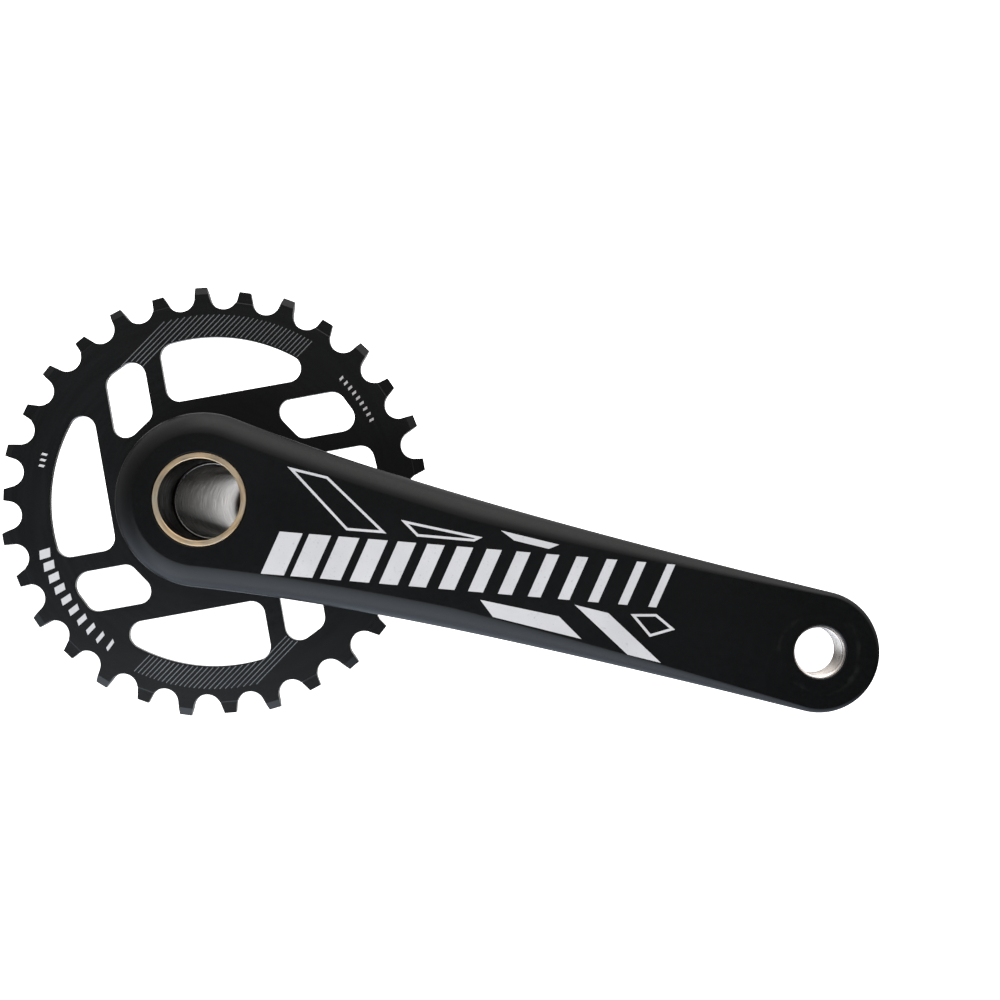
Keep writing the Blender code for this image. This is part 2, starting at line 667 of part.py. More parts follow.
def cup(side):
    face = flange_face(side)
    start = FLANGE_START[side]
    pocket = BEARING_OUTER_RADIUS + GAP
    name = f"{SIDE_NAME[side]}_cup"
    piece = turned(name, sided([
        (CUP_FLANGE_RADIUS - CUP_FLANGE_EDGE, face),
        (CUP_FLANGE_RADIUS, face - CUP_FLANGE_EDGE),
        (CUP_FLANGE_RADIUS, start),
        (THREAD_RADIUS, start),
        (THREAD_RADIUS, THREAD_INNER_END),
        (CUP_BORE_RADIUS, THREAD_INNER_END),
        (CUP_BORE_RADIUS, start + FLANGE_FLOOR - GAP),
        (pocket, start + FLANGE_FLOOR - GAP),
        (pocket, face),
    ], side), FINE, "black_anodised", BRACKET_AXIS)
    ends = sorted((side * (face - NOTCH_DEPTH), side * (face + OVERRUN)))
    notches = bmesh.new()
    for notch in range(NOTCH_COUNT):
        bar = bmesh.ops.create_cone(
            notches, cap_ends=True, segments=SMALL, radius1=NOTCH_RADIUS, radius2=NOTCH_RADIUS,
            depth=ends[1] - ends[0],
        )["verts"]
        x, y = polar(NOTCH_CENTRE_RADIUS, notch * math.tau / NOTCH_COUNT)
        bmesh.ops.translate(notches, verts=bar, vec=(x, y, sum(ends) / 2))
    mesh = bpy.data.meshes.new(f"{name}_notches")
    notches.to_mesh(mesh)
    notches.free()
    boolean(piece, add_mesh(f"{name}_notches", mesh))
    smooth(piece)


def bearing(side):
    """Two grooved races, a ball cage, the balls and the seals that close both faces."""
    name = SIDE_NAME[side]
    middle = FLANGE_START[side] + FLANGE_FLOOR + BEARING_WIDTH / 2
    inner_radius = JOURNAL_RADIUS + GAP
    pitch = (inner_radius + BEARING_OUTER_RADIUS) / 2
    groove = BALL_RADIUS + GAP
    land = RACE_LAND * BALL_RADIUS
    groove_half_angle = math.acos(land / groove)

    def race(label, rim, facing, axis):
        near = pitch - facing * land
        profile = [(rim, middle - BEARING_WIDTH / 2), (near, middle - BEARING_WIDTH / 2)]
        for across, along in arc((0, 0), groove, -groove_half_angle, groove_half_angle, 5):
            profile.append((pitch - facing * across, middle + along))
        profile += [(near, middle + BEARING_WIDTH / 2), (rim, middle + BEARING_WIDTH / 2)]
        if facing > 0:
            profile.reverse()
        smooth(turned(f"{name}_{label}_race", sided(profile, side), MEDIUM, "bearing_steel", axis))

    race("inner", inner_radius, 1, CRANK_AXIS)
    race("outer", BEARING_OUTER_RADIUS, -1, BRACKET_AXIS)

    seal_face = {"outer": middle + BEARING_WIDTH / 2, "inner": middle - BEARING_WIDTH / 2 + SEAL_THICKNESS}
    for label, face in seal_face.items():
        low, high = sorted((side * (face - SEAL_THICKNESS), side * face))
        smooth(ring(
            f"{name}_{label}_seal", pitch + land - GAP, pitch - land + GAP, low, high,
            MEDIUM, "rubber", BRACKET_AXIS,
        ))

    half_cage = BEARING_WIDTH / 2 - SEAL_THICKNESS - GAP
    half_wall = CAGE_HALF_WALL * BALL_RADIUS
    cage_axis = CAGE_AXES[side]
    centre = side * middle
    cage = ring(
        f"{name}_cage", pitch + half_wall, pitch - half_wall, centre - half_cage, centre + half_cage,
        2 * BALL_COUNT, "black_plastic", cage_axis,
    )
    pockets = bmesh.new()
    for number in range(BALL_COUNT):
        angle = number * math.tau / BALL_COUNT
        x, y = polar(pitch, angle)
        window = bmesh.ops.create_cone(
            pockets, cap_ends=True, segments=10, radius1=BALL_RADIUS + GAP, radius2=BALL_RADIUS + GAP,
            depth=2 * half_wall + 2 * OVERRUN,
        )["verts"]
        lay_down = Matrix.Rotation(angle, 3, "Z") @ Matrix.Rotation(math.pi / 2, 3, "Y")
        bmesh.ops.rotate(pockets, verts=window, cent=(0, 0, 0), matrix=lay_down)
        bmesh.ops.translate(pockets, verts=window, vec=(x, y, centre))
        mesh = bpy.data.meshes.new(f"{name}_ball")
        sphere = bmesh.new()
        bmesh.ops.create_icosphere(sphere, subdivisions=2, radius=BALL_RADIUS)
        bmesh.ops.translate(sphere, verts=sphere.verts, vec=(x, y, centre))
        sphere.to_mesh(mesh)
        sphere.free()
        mesh.shade_smooth()
        add_mesh(f"{name}_ball_{number + 1:02d}", mesh, "bearing_steel", cage_axis)
    mesh = bpy.data.meshes.new(f"{name}_cage_pockets")
    pockets.to_mesh(mesh)
    pockets.free()
    boolean(cage, add_mesh(f"{name}_cage_pockets", mesh))
    smooth(cage)


def dust_shield(side):
    """A lipped ring on the spindle that covers the bearing's open face."""
    face = flange_face(side)
    inner = JOURNAL_RADIUS + GAP
    smooth(turned(f"{SIDE_NAME[side]}_dust_shield", sided([
        (BEARING_OUTER_RADIUS - 2 * SHIELD_EDGE, face + GAP + SHIELD_THICKNESS),
        (BEARING_OUTER_RADIUS, face + GAP + SHIELD_THICKNESS - SHIELD_EDGE),
        (BEARING_OUTER_RADIUS, face + GAP),
        (inner + SHIELD_NECK, face + GAP),
        (inner + SHIELD_NECK, face - BEARING_RECESS + GAP),
        (inner, face - BEARING_RECESS + GAP),
        (inner, face + GAP + SHIELD_THICKNESS),
    ], side), MEDIUM, "black_plastic", CRANK_AXIS))


def sleeve_and_seals():
    smooth(ring(
        "centre_sleeve", SLEEVE_OUTER_RADIUS, SLEEVE_INNER_RADIUS, -SLEEVE_HALF_LENGTH, SLEEVE_HALF_LENGTH,
        MEDIUM, "black_plastic", BRACKET_AXIS,
    ))
    smooth(ring(
        "shell_spacer", CUP_FLANGE_RADIUS - SPACER_INSET, THREAD_RADIUS + GAP, SHELL_HALF_WIDTH,
        SHELL_HALF_WIDTH + SPACER_WIDTH - GAP, FINE, "black_anodised", BRACKET_AXIS,
    ))
    middle_radius = (SLEEVE_OUTER_RADIUS + CUP_BORE_RADIUS) / 2
    for side in (SIDE_DRIVE, SIDE_LEFT):
        section = arc((middle_radius, side * ORING_CENTRE), ORING_RADIUS, math.pi / 2, -math.pi * 7 / 6, 6)
        smooth(turned(f"{SIDE_NAME[side]}_sleeve_o_ring", section, COARSE, "rubber", BRACKET_AXIS))


clear_scene()
PARTS = new_collection("bicycle_crankset")
CUTTERS = new_collection("cutters")
CRANK_AXIS = add_axis("crank_axis")
BRACKET_AXIS = add_axis("bracket_axis")
CAGE_AXES = {side: add_axis(f"{SIDE_NAME[side]}_cage_axis") for side in (SIDE_DRIVE, SIDE_LEFT)}
CUTTER_AXIS = add_axis("cutter_axis")

drive_arm()
spindle()
chainring()
chainring_bolts()
for bracket_side in (SIDE_DRIVE, SIDE_LEFT):
    cup(bracket_side)
    bearing(bracket_side)
    dust_shield(bracket_side)
sleeve_and_seals()
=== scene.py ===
"""The looks of the bicycle crankset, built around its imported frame.

Pieces are modelled in the view frame of the drive side: x runs along the crank arm, y runs up and
z runs outboard along the spindle. add_piece turns them into the row frame. Sizes that the frame
holds are read from it, and the others are the named values below, in metres.
"""

import json
import math

import bmesh
import bpy
from mathutils import Matrix, Vector


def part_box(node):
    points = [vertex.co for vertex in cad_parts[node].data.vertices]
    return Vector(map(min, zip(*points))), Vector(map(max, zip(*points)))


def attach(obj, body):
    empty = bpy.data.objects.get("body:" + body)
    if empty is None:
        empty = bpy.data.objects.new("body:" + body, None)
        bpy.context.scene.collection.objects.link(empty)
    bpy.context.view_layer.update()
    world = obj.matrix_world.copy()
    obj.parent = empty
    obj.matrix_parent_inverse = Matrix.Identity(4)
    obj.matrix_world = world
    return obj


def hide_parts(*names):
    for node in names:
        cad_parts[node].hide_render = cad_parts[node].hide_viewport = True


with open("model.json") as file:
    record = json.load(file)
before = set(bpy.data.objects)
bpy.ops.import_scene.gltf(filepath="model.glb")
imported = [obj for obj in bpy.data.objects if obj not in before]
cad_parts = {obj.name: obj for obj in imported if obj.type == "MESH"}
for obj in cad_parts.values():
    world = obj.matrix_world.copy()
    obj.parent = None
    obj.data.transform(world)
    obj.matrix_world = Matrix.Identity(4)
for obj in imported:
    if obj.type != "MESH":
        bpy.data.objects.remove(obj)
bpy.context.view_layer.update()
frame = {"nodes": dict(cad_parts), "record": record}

MM = 0.001
GAP = 0.3 * MM
MERGE = 0.002 * MM
OVERRUN = 1.0 * MM  # how far a cutter runs past the face it cuts
VIEW_TO_WORLD = Matrix.Rotation(math.radians(90), 4, "X")
SHARP_ANGLE = math.radians(32)


def span(node):
    """(inboard height, outboard height, radius) of a CAD node that is round about the spindle."""
    low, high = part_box(node)
    return -high.y, -low.y, high.x


# Chainring
TEETH = 30
TOOTH_PITCH = math.tau / TEETH
PITCH_RADIUS = 12.7 * MM / (2 * math.sin(math.pi / TEETH))
ROLLER_SEAT_RADIUS = 4.15 * MM
SEAT_HALF_ANGLE = math.radians(72)
NARROW_TIP_RADIUS = 62.15 * MM
WIDE_TIP_RADIUS = 63.2 * MM
TOOTH_TIP_HALF_ANGLE = math.radians(1.55)
TOOTH_LEAN = math.radians(0.25)
NARROW_TOOTH_THICKNESS = 2.2 * MM
TIP_CHAMFER_RADIUS = 61.0 * MM
TIP_CHAMFER_DEPTH = 1.1 * MM
RELIEF_INNER_RADIUS = PITCH_RADIUS - 2.2 * MM
RELIEF_WIDTH = 7.4 * MM
RELIEF_LENGTH = 10.0 * MM
RELIEF_ROUND = 0.45 * MM
RING_INBOARD, RING_OUTBOARD, _ = span("chainring")
RIM_INNER_RADIUS = 48.3 * MM
WINDOW_TURN = math.radians(114)  # direction of the first spoke line's normal
WINDOW_COUNT = 4
SPOKE_LINE = 30.7 * MM
WINDOW_END = 8.6 * MM
WINDOW_CORNER = 4.0 * MM
SLOT_NEAR = 13.6 * MM
SLOT_FAR = 25.7 * MM
SLOT_BASE = 23.0 * MM
SLOT_CORNER = 4.2 * MM
HUB_FLAT = 30.6 * MM  # the flat on the hub that slants across the foot of each slot
HUB_FLAT_TURN = math.radians(124)
HUB_CORNER = 3.6 * MM
WEB_THICKNESS = 2.1 * MM  # between hub and rim, where the inboard face is milled away
WEB_INNER_RADIUS = 28.0 * MM
WEB_OUTER_RADIUS = 53.0 * MM
WEB_CORNER = 0.8 * MM
PLATE_EDGE = 0.22 * MM  # the small round on every edge of the plate
WALL_STEEPNESS = 0.5  # faces whose outward direction leans less than this to an axis are walls

# Direct mount
SPLINE_COUNT = 18
SPLINE_ROOT_RADIUS = 14.9 * MM
SPLINE_TIP_RADIUS = 15.9 * MM
SPLINE_ROOT_SHARE = 0.29
SPLINE_TIP_SHARE = 0.19
SPLINE_ROUND = 0.25 * MM
SPIGOT_INBOARD = RING_INBOARD + 0.6 * MM
BOLT_COUNT = 3
BOLT_CIRCLE_RADIUS = 20.5 * MM
BOLT_SHANK_RADIUS = 2.0 * MM
BOLT_HEAD_RADIUS = 3.4 * MM
BOLT_HEAD_HEIGHT = 1.9 * MM
BOLT_HEAD_CHAMFER = 0.4 * MM
BOLT_SEAT_CHAMFER = 0.2 * MM
BOLT_SOCKET_RADIUS = 1.9 * MM
BOLT_SOCKET_WAIST = 0.74  # the socket's radius between two lobes, as a share of its full radius
BOLT_SOCKET_DEPTH = 1.3 * MM
BOLT_PLAIN_SHANK = 2.5 * MM
BOLT_THREAD_PITCH = 0.7 * MM
BOLT_THREAD_DEPTH = 0.38 * MM
BOLT_TIP_INSET = 0.5 * MM
BOLT_TIP_LENGTH = 0.6 * MM

# Crank arm
ARM_LENGTH = frame["record"]["mounts"][1]["pos_m"][0]
BOSS_RADIUS = 24.5 * MM
PEDAL_END_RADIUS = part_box("drive_arm")[1].x - ARM_LENGTH
BOSS_TANGENT = math.radians(82)
EDGE_CONTROL = (55.0 * MM, 17.3 * MM)
EDGE_END_X = 150.0 * MM
BOSS_FACE = span("spindle")[1]
PEDAL_FACE = span("drive_arm")[1]
PEDAL_BACK = PEDAL_FACE - 13.0 * MM
BOSS_BACK = RING_OUTBOARD + GAP
ARM_BACK = 61.5 * MM
FACE_RISE_START = 20.0 * MM
FACE_RISE_END = 155.0 * MM
BACK_STEP_START = 25.0 * MM
BACK_STEP_END = 37.0 * MM
BEVEL_WIDTH = 6.3 * MM
BEVEL_WIDTH_AT_PEDAL = 1.3 * MM
BEVEL_DEPTH = 5.6 * MM
BEVEL_DEPTH_AT_PEDAL = 1.4 * MM
BEVEL_TAPER_START = 75.0 * MM
BEVEL_SQUARENESS = 1.5
BACK_BEVEL = 1.6 * MM
PEDAL_HOLE_RADIUS = 7.15 * MM
PEDAL_THREAD_PITCH = 1.27 * MM
PEDAL_THREAD_DEPTH = 0.62 * MM
PEDAL_CHAMFER = 0.6 * MM
HOLE_CHAMFER = 0.3 * MM
HOLE_FIT = 0.1 * MM  # how much wider a hole is than what it holds
LINER_FIT = 0.02 * MM  # the same for the bright wall of the pedal hole
LINER_INSET = 0.12 * MM
LINER_EDGE = 0.5 * MM

# Spindle
SPINDLE_END, _, HEAD_RADIUS = span("spindle")
SPINDLE_CHAMFER = 0.4 * MM
SPINDLE_ROUND = 0.3 * MM
NICKEL_EDGE = 0.35 * MM  # how far the head's nickel reaches into the bore
FACE_MARGIN = 0.1 * MM  # how far a face's middle may lie past the surface it belongs to
HEAD_BORE_RADIUS = 11.4 * MM
HEAD_BORE_DEPTH = 20.0 * MM
HEAD_END = 51.0 * MM
JOURNAL_RADIUS = 12.0 * MM
JOURNAL_BORE_RADIUS = 10.6 * MM
LEFT_BORE_START = -48.0 * MM
LEFT_BORE_TAPER = 3.0 * MM
LEFT_BORE_RADIUS = 8.5 * MM
LEFT_THREAD_START = -56.0 * MM
LEFT_THREAD_PITCH = 1.0 * MM
LEFT_THREAD_DEPTH = 0.5 * MM
LEFT_SPLINE_START = -50.0 * MM
LEFT_SPLINE_COUNT = 12
LEFT_SPLINE_DEPTH = 1.0 * MM
LEFT_SPLINE_RUNOUT = 0.5 * MM
LEFT_SPLINE_TIP_RADIUS = JOURNAL_RADIUS - 0.3 * MM

# Bottom bracket
SHELL_HALF_WIDTH = span("shell_spacer")[0]
SPACER_WIDTH = 2.5 * MM
THREAD_RADIUS = 17.2 * MM
THREAD_PITCH = 25.4 * MM / 24
THREAD_DEPTH = 0.62 * MM
THREAD_INNER_END = span("drive_cup")[0]
CUP_FLANGE_RADIUS = span("drive_cup")[2]
CUP_FLANGE_EDGE = 0.8 * MM
CUP_RELIEF_LENGTH = 1.2 * MM  # the groove between a cup's thread and its flange
CUP_RELIEF_RAMP = 0.3 * MM
CUP_RELIEF_DEPTH = 0.5 * MM
CUP_END_CHAMFER = 0.6 * MM
CUP_ROUND = 0.25 * MM
CUP_BORE_RADIUS = 16.0 * MM
FLANGE_FLOOR = 1.2 * MM
BEARING_OUTER_RADIUS = 18.5 * MM
BEARING_WIDTH = 7.0 * MM
BEARING_RECESS = 0.9 * MM
NOTCH_COUNT = 16
NOTCH_RADIUS = 1.8 * MM
NOTCH_DEPTH = 6.0 * MM
NOTCH_CENTRE_RADIUS = CUP_FLANGE_RADIUS + 0.4 * MM
SHIELD_THICKNESS = 1.1 * MM
SHIELD_EDGE = 0.5 * MM
SHIELD_NECK = 1.2 * MM
SHIELD_GROOVE_START = 1.6 * MM
SHIELD_GROOVE_WIDTH = 1.3 * MM
SHIELD_GROOVE_SLOPE = 0.3 * MM
SHIELD_GROOVE_DEPTH = 0.25 * MM
SLEEVE_INNER_RADIUS = 13.3 * MM
SIDE_DRIVE = 1
SIDE_LEFT = -1
SIDE_NAME = {SIDE_DRIVE: "drive", SIDE_LEFT: "left"}
FLANGE_START = {SIDE_DRIVE: SHELL_HALF_WIDTH + SPACER_WIDTH, SIDE_LEFT: SHELL_HALF_WIDTH}

# Marks on the arm's face: leaning bars along a line that climbs towards the pedal
MARK_LIFT = 0.012 * MM
MARK_THICKNESS = 0.03 * MM
MARK_SLICE = 3.0 * MM  # marks are sliced this finely, to follow the rising face
BAR_START = (21.5 * MM, -15.8 * MM)
BAR_LINE_SLOPE = math.radians(9.0)
BAR_HEIGHT = 12.0 * MM
BAR_LEAN = 4.2 * MM
BAR_COUNT = 14
BAR_SPACING = 8.2 * MM
WIDEST_BAR = 6.4 * MM
NARROWEST_BAR = 2.2 * MM
STRIPE_WIDTH = 0.7 * MM

# Ticks on the chainring: leaning marks whose inner ends lie on one circle
TICK_RADIUS = 50.8 * MM
TICK_WIDTH = 0.7 * MM
TICK_LEAN = 0.3 * MM
TICK_ROWS = ((178.0, 3, 1.9, 1.6 * MM), (41.0, 9, 2.1, 1.4 * MM))  # first angle, count, step, length
FADING_TICK_COUNT = 10
FADING_TICK_START = math.radians(-149)
FADING_TICK_STEP = math.radians(4.1)
FADING_TICK_RADIUS = 50.0 * MM
FADING_TICK_LENGTH = 3.2 * MM
FADING_TICK_LEAN = 0.6 * MM
WIDEST_TICK = 2.6 * MM
TICK_FADE = 0.18 * MM  # how much narrower each is than the one before

# Etched lines on the chainring: parallel lines between two circles
ETCH_DIRECTION = math.radians(60)
ETCH_SPACING = 1.135 * MM
ETCH_WIDTH = 0.24 * MM
ETCH_OUTER_RADIUS = 54.9 * MM
ETCH_INNER_RADIUS = 44.0 * MM
ETCH_MARGIN = 0.5 * MM  # how far the lines stay from the windows' and slots' edges
ETCH_STEP = 0.1 * MM
ETCH_BANDS = ((-47.4 * MM, -12.0 * MM), (17.5 * MM, 46.7 * MM))

# Facets
ROUND = 144
SMALL_ROUND = 48
THREAD_SAMPLES = 8
THREAD_SLOPE = 1.7  # a thread's flanks, and the flats that cut them off
THREAD_FLAT = 0.35


# ---- shapes

def polar(radius, angle):
    return (radius * math.cos(angle), radius * math.sin(angle))


def arc(centre, radius, start, end, count):
    """Points on an arc from one angle to another, both ends included."""
    step = (end - start) / (count - 1)
    return [
        (centre[0] + radius * math.cos(start + i * step), centre[1] + radius * math.sin(start + i * step))
        for i in range(count)
    ]


def circle(centre, radius, count):
    """An outline round a centre."""
    return arc(centre, radius, 0, math.tau * (count - 1) / count, count)


def between(first, second, share):
    return first + (second - first) * share


def rotated(points, angle):
    c, s = math.cos(angle), math.sin(angle)
    return [(x * c - y * s, x * s + y * c) for x, y in points]


def shifted(points, offset):
    return [(x + offset[0], y + offset[1]) for x, y in points]


def in_mm(*points):
    return [(x * MM, y * MM) for x, y in points]


def filleted(points, radius, count=4, closed=True):
    """An outline whose corners are rounded off by short curves."""
    rounded = []
    for i, here in enumerate(points):
        corner = Vector(here)
        if not closed and i in (0, len(points) - 1):
            rounded.append(tuple(corner))
            continue
        back = Vector(points[i - 1]) - corner
        ahead = Vector(points[(i + 1) % len(points)]) - corner
        reach = min(radius, 0.4 * back.length, 0.4 * ahead.length)
        start = corner + back.normalized() * reach
        end = corner + ahead.normalized() * reach
        for k in range(count + 1):
            t = k / count
            rounded.append(tuple((1 - t) ** 2 * start + 2 * t * (1 - t) * corner + t * t * end))
    return rounded


def finished(work, name):
    """A mesh from a bmesh, with doubled points merged and its faces pointing out."""
    bmesh.ops.remove_doubles(work, verts=work.verts, dist=MERGE)
    bmesh.ops.dissolve_degenerate(work, edges=work.edges, dist=MERGE)
    bmesh.ops.recalc_face_normals(work, faces=work.faces)
    mesh = bpy.data.meshes.new(name)
    work.to_mesh(mesh)
    work.free()
    return mesh


def add_face(work, corners):
    """Adds a face without its repeated corners, if three or more are left."""
    unique = [point for n, point in enumerate(corners) if point not in corners[:n]]
    if len(unique) > 2:
        work.faces.new(unique)


def bridge(work, loops, closed=False):
    """Faces between neighbouring loops of points."""
    pairs = list(zip(loops, loops[1:]))
    if closed:
        pairs.append((loops[-1], loops[0]))
    for near, far in pairs:
        for i in range(len(near)):
            j = (i + 1) % len(near)
            add_face(work, [near[i], near[j], far[j], far[i]])


def lathe(work, profile, steps, closed=True, centre=(0, 0)):
    """Adds a turned surface from (radius, height) points."""
    loops = []
    for radius, height in profile:
        if radius == 0:
            loops.append([work.verts.new((*centre, height))] * steps)
            continue
        loops.append([
            work.verts.new((*shifted([polar(radius, i * math.tau / steps)], centre)[0], height))
            for i in range(steps)
        ])
    bridge(work, loops, closed)


def lathed(name, profile, steps, closed=True, centre=(0, 0)):
    """A mesh that is one turned surface."""
    work = bmesh.new()
    lathe(work, profile, steps, closed, centre)
    return finished(work, name)


def thread_depth_share(turn):
    """How deep a 60 degree thread with flats is, as a share, at a place along its pitch."""
    return min(max(THREAD_SLOPE * (1 - abs(2 * turn - 1)) - THREAD_FLAT, 0), 1)


def thread_wall(work, radius, depth, pitch, low, high, steps, centre=(0, 0)):
    """Adds a helical thread on a round wall, cut inward from radius and run out at both ends."""
    rows = int((high - low) / pitch + 2) * THREAD_SAMPLES + 1
    columns = []
    for i in range(steps + 1):
        angle = i * math.tau / steps
        column = []
        for row in range(rows):
            turn = row / THREAD_SAMPLES
            height = low + (turn - 1 + i / steps) * pitch
            runout = min(max((height - low) / pitch, 0), max((high - height) / pitch, 0), 1)
            across = radius - depth * runout * thread_depth_share(turn % 1)
            x, y = polar(across, angle)
            z = min(max(height, low), high)
            column.append(work.verts.new((x + centre[0], y + centre[1], z)))
        columns.append(column)
    for left, right in zip(columns, columns[1:]):
        for row in range(rows - 1):
            work.faces.new((left[row], right[row], right[row + 1], left[row + 1]))


def plate(name, outlines, low, high, edge=0.0):
    """A flat plate with small rounds on its edges: the first outline is its rim, the others holes."""
    curve = bpy.data.curves.new(name, "CURVE")
    curve.dimensions = "2D"
    curve.fill_mode = "BOTH"
    curve.extrude = (high - low) / 2 - edge
    curve.bevel_depth = edge
    curve.bevel_resolution = 2
    curve.offset = -edge
    for outline in outlines:
        spline = curve.splines.new("POLY")
        spline.points.add(len(outline) - 1)
        for point, (x, y) in zip(spline.points, outline):
            point.co = (x, y, 0, 1)
        spline.use_cyclic_u = True
    shape = bpy.data.objects.new(name, curve)
    bpy.context.scene.collection.objects.link(shape)
    graph = bpy.context.evaluated_depsgraph_get()
    mesh = bpy.data.meshes.new_from_object(shape.evaluated_get(graph))
    bpy.data.objects.remove(shape)
    work = bmesh.new()
    work.from_mesh(mesh)
    bmesh.ops.translate(work, verts=work.verts, vec=(0, 0, (high + low) / 2))
    bpy.data.meshes.remove(mesh)
    return finished(work, name)


def carved(mesh, tools, operation="DIFFERENCE"):
    """The mesh with other meshes cut from it or joined to it."""
    scratch = []
    for shape in (mesh, *tools):
        holder = bpy.data.objects.new(shape.name, shape)
        bpy.context.scene.collection.objects.link(holder)
        scratch.append(holder)
    for tool in scratch[1:]:
        cut = scratch[0].modifiers.new(tool.name, "BOOLEAN")
        cut.operation = operation
        cut.solver = "EXACT"
        cut.object = tool
    graph = bpy.context.evaluated_depsgraph_get()
    result = bpy.data.meshes.new_from_object(scratch[0].evaluated_get(graph))
    result.name = mesh.name
    for holder in scratch:
        old = holder.data
        bpy.data.objects.remove(holder)
        bpy.data.meshes.remove(old)
    return result


def spline_outline(root, tip, count):
    """Straight-sided spline teeth, the first one centred on x."""
    pitch = math.tau / count
    outline = []
    for tooth in range(count):
        middle = tooth * pitch
        outline.append(polar(root, middle - SPLINE_ROOT_SHARE * pitch))
        outline.append(polar(tip, middle - SPLINE_TIP_SHARE * pitch))
        outline.append(polar(tip, middle + SPLINE_TIP_SHARE * pitch))
        outline.append(polar(root, middle + SPLINE_ROOT_SHARE * pitch))
    return filleted(outline, SPLINE_ROUND, 2)


# ---- materials

# Painted shade on bare metal: the dark colour it lays over the base colour
PAINTED_SHADE_TINT = (0.036, 0.034, 0.031, 1)
PAINTED_SHADE_SPECULAR_TINT = (0.45, 0.45, 0.44, 1)  # painted shade on the specular tint: reflections are dimmed where the painted shade lies
BORE_SHADE_REACH = (-58.0 * MM, 25.0 * MM)  # along Y: the bore's painted shade, from full to none
REFLECTION_BAND_REACH = (-60.0 * MM, 30.0 * MM)  # along Y: the bore's bright band, a painted reflection between painted shade, from narrow to wide
REFLECTION_BAND_HALF_HEIGHT = (4.4 * MM, 10.4 * MM)
REFLECTION_BAND_EDGE = (-0.8 * MM, 1.0 * MM)
THREAD_SHADE_REACH = (-4.0 * MM, 2.0 * MM)  # along Z: painted shade on the pedal thread, from none to full
SCUFF_RADIUS = 11.0 * MM
SCUFF_SPREAD = 1.2 * MM
SCUFF_GREY = (0.05, 0.048, 0.045, 1)


def set_up(kind, tree, inputs=None, **settings):
    """A shader node with its settings and its inputs: numbers are set and sockets are linked."""
    made = tree.nodes.new(kind)
    for name, value in settings.items():
        setattr(made, name, value)
    for name, value in (inputs or {}).items():
        if isinstance(value, bpy.types.NodeSocket):
            tree.links.new(value, made.inputs[name])
        else:
            made.inputs[name].default_value = value
    return made


def noise(tree, vector, scale, detail=3.0):
    made = set_up("ShaderNodeTexNoise", tree, {"Vector": vector, "Scale": scale, "Detail": detail})
    return made.outputs["Fac"]


def ranged(tree, value, low, high, start=0.3, end=0.7):
    """The value spread over a new range, clamped."""
    made = set_up("ShaderNodeMapRange", tree, {
        "Value": value, "From Min": start, "From Max": end, "To Min": low, "To Max": high,
    })
    return made.outputs["Result"]


def maths(tree, operation, first, second=0.0):
    return set_up("ShaderNodeMath", tree, {0: first, 1: second}, operation=operation).outputs[0]


def blended(tree, share, first, second):
    """A colour between two colours."""
    made = set_up("ShaderNodeMix", tree, {0: share, 6: first, 7: second}, data_type="RGBA")
    return made.outputs[2]


def uneven(tree, low, high, scale, detail=3.0):
    """A value that drifts from place to place."""
    return ranged(tree, noise(tree, place(tree), scale, detail), low, high)


def mottled(tree, first, second, scale):
    """A colour that drifts between two colours."""
    return blended(tree, uneven(tree, 0, 1, scale), first, second)


def grain(scale, detail, depth):
    """A relief of fine grain, as material takes it."""
    return lambda tree: (noise(tree, place(tree), scale, detail), depth)


def place(tree):
    return set_up("ShaderNodeTexCoord", tree).outputs["Object"]


def split_place(tree):
    """The object coordinates as separate sockets."""
    return set_up("ShaderNodeSeparateXYZ", tree, {"Vector": place(tree)}).outputs


def axis_distance(tree, x, z):
    squares = maths(tree, "ADD", maths(tree, "MULTIPLY", x, x), maths(tree, "MULTIPLY", z, z))
    return maths(tree, "SQRT", squares)


def lathe_place(tree, around, across, centre_x=0.0):
    """Coordinates that run slowly round the spindle's direction and fast along and across it."""
    parts = split_place(tree)
    x = maths(tree, "SUBTRACT", parts["X"], centre_x)
    z = parts["Z"]
    radius = axis_distance(tree, x, z)
    return set_up("ShaderNodeCombineXYZ", tree, {
        "X": maths(tree, "MULTIPLY", maths(tree, "DIVIDE", x, radius), around),
        "Y": maths(tree, "MULTIPLY", maths(tree, "DIVIDE", z, radius), around),
        "Z": maths(tree, "MULTIPLY", maths(tree, "ADD", parts["Y"], radius), across),
    }).outputs[0]


def material(name, colour, roughness, relief=None, **sockets):
    """A Principled material. colour, roughness and relief are functions that build on its tree."""
    made = bpy.data.materials.new(name)
    made.use_nodes = True
    tree = made.node_tree
    shader = tree.nodes["Principled BSDF"]
    tree.links.new(colour(tree), shader.inputs["Base Color"])
    tree.links.new(roughness(tree), shader.inputs["Roughness"])
    if relief:
        height, distance = relief(tree)
        bump = set_up("ShaderNodeBump", tree, {"Height": height, "Distance": distance, "Strength": 1.0})
        tree.links.new(bump.outputs["Normal"], shader.inputs["Normal"])
    for socket, value in sockets.items():
        shader.inputs[socket.replace("_", " ")].default_value = value
    return made


def grey(level, tint=(1, 1, 1)):
    return (*[level * share for share in tint], 1)


def washer_scuffs(tree):
    """Faint rub marks in a ring round the pedal hole, where a pedal's washer has turned."""
    parts = split_place(tree)
    radius = axis_distance(tree, maths(tree, "SUBTRACT", parts["X"], ARM_LENGTH), parts["Z"])
    inner = ranged(tree, radius, 0.0, 1.0, SCUFF_RADIUS - SCUFF_SPREAD, SCUFF_RADIUS)
    outer = ranged(tree, radius, 1.0, 0.0, SCUFF_RADIUS, SCUFF_RADIUS + SCUFF_SPREAD)
    patches = ranged(tree, noise(tree, lathe_place(tree, 1.3, 260, ARM_LENGTH), 1, 3), 0.0, 0.4, 0.52, 0.78)
    return maths(tree, "MULTIPLY", maths(tree, "MULTIPLY", inner, outer), patches)


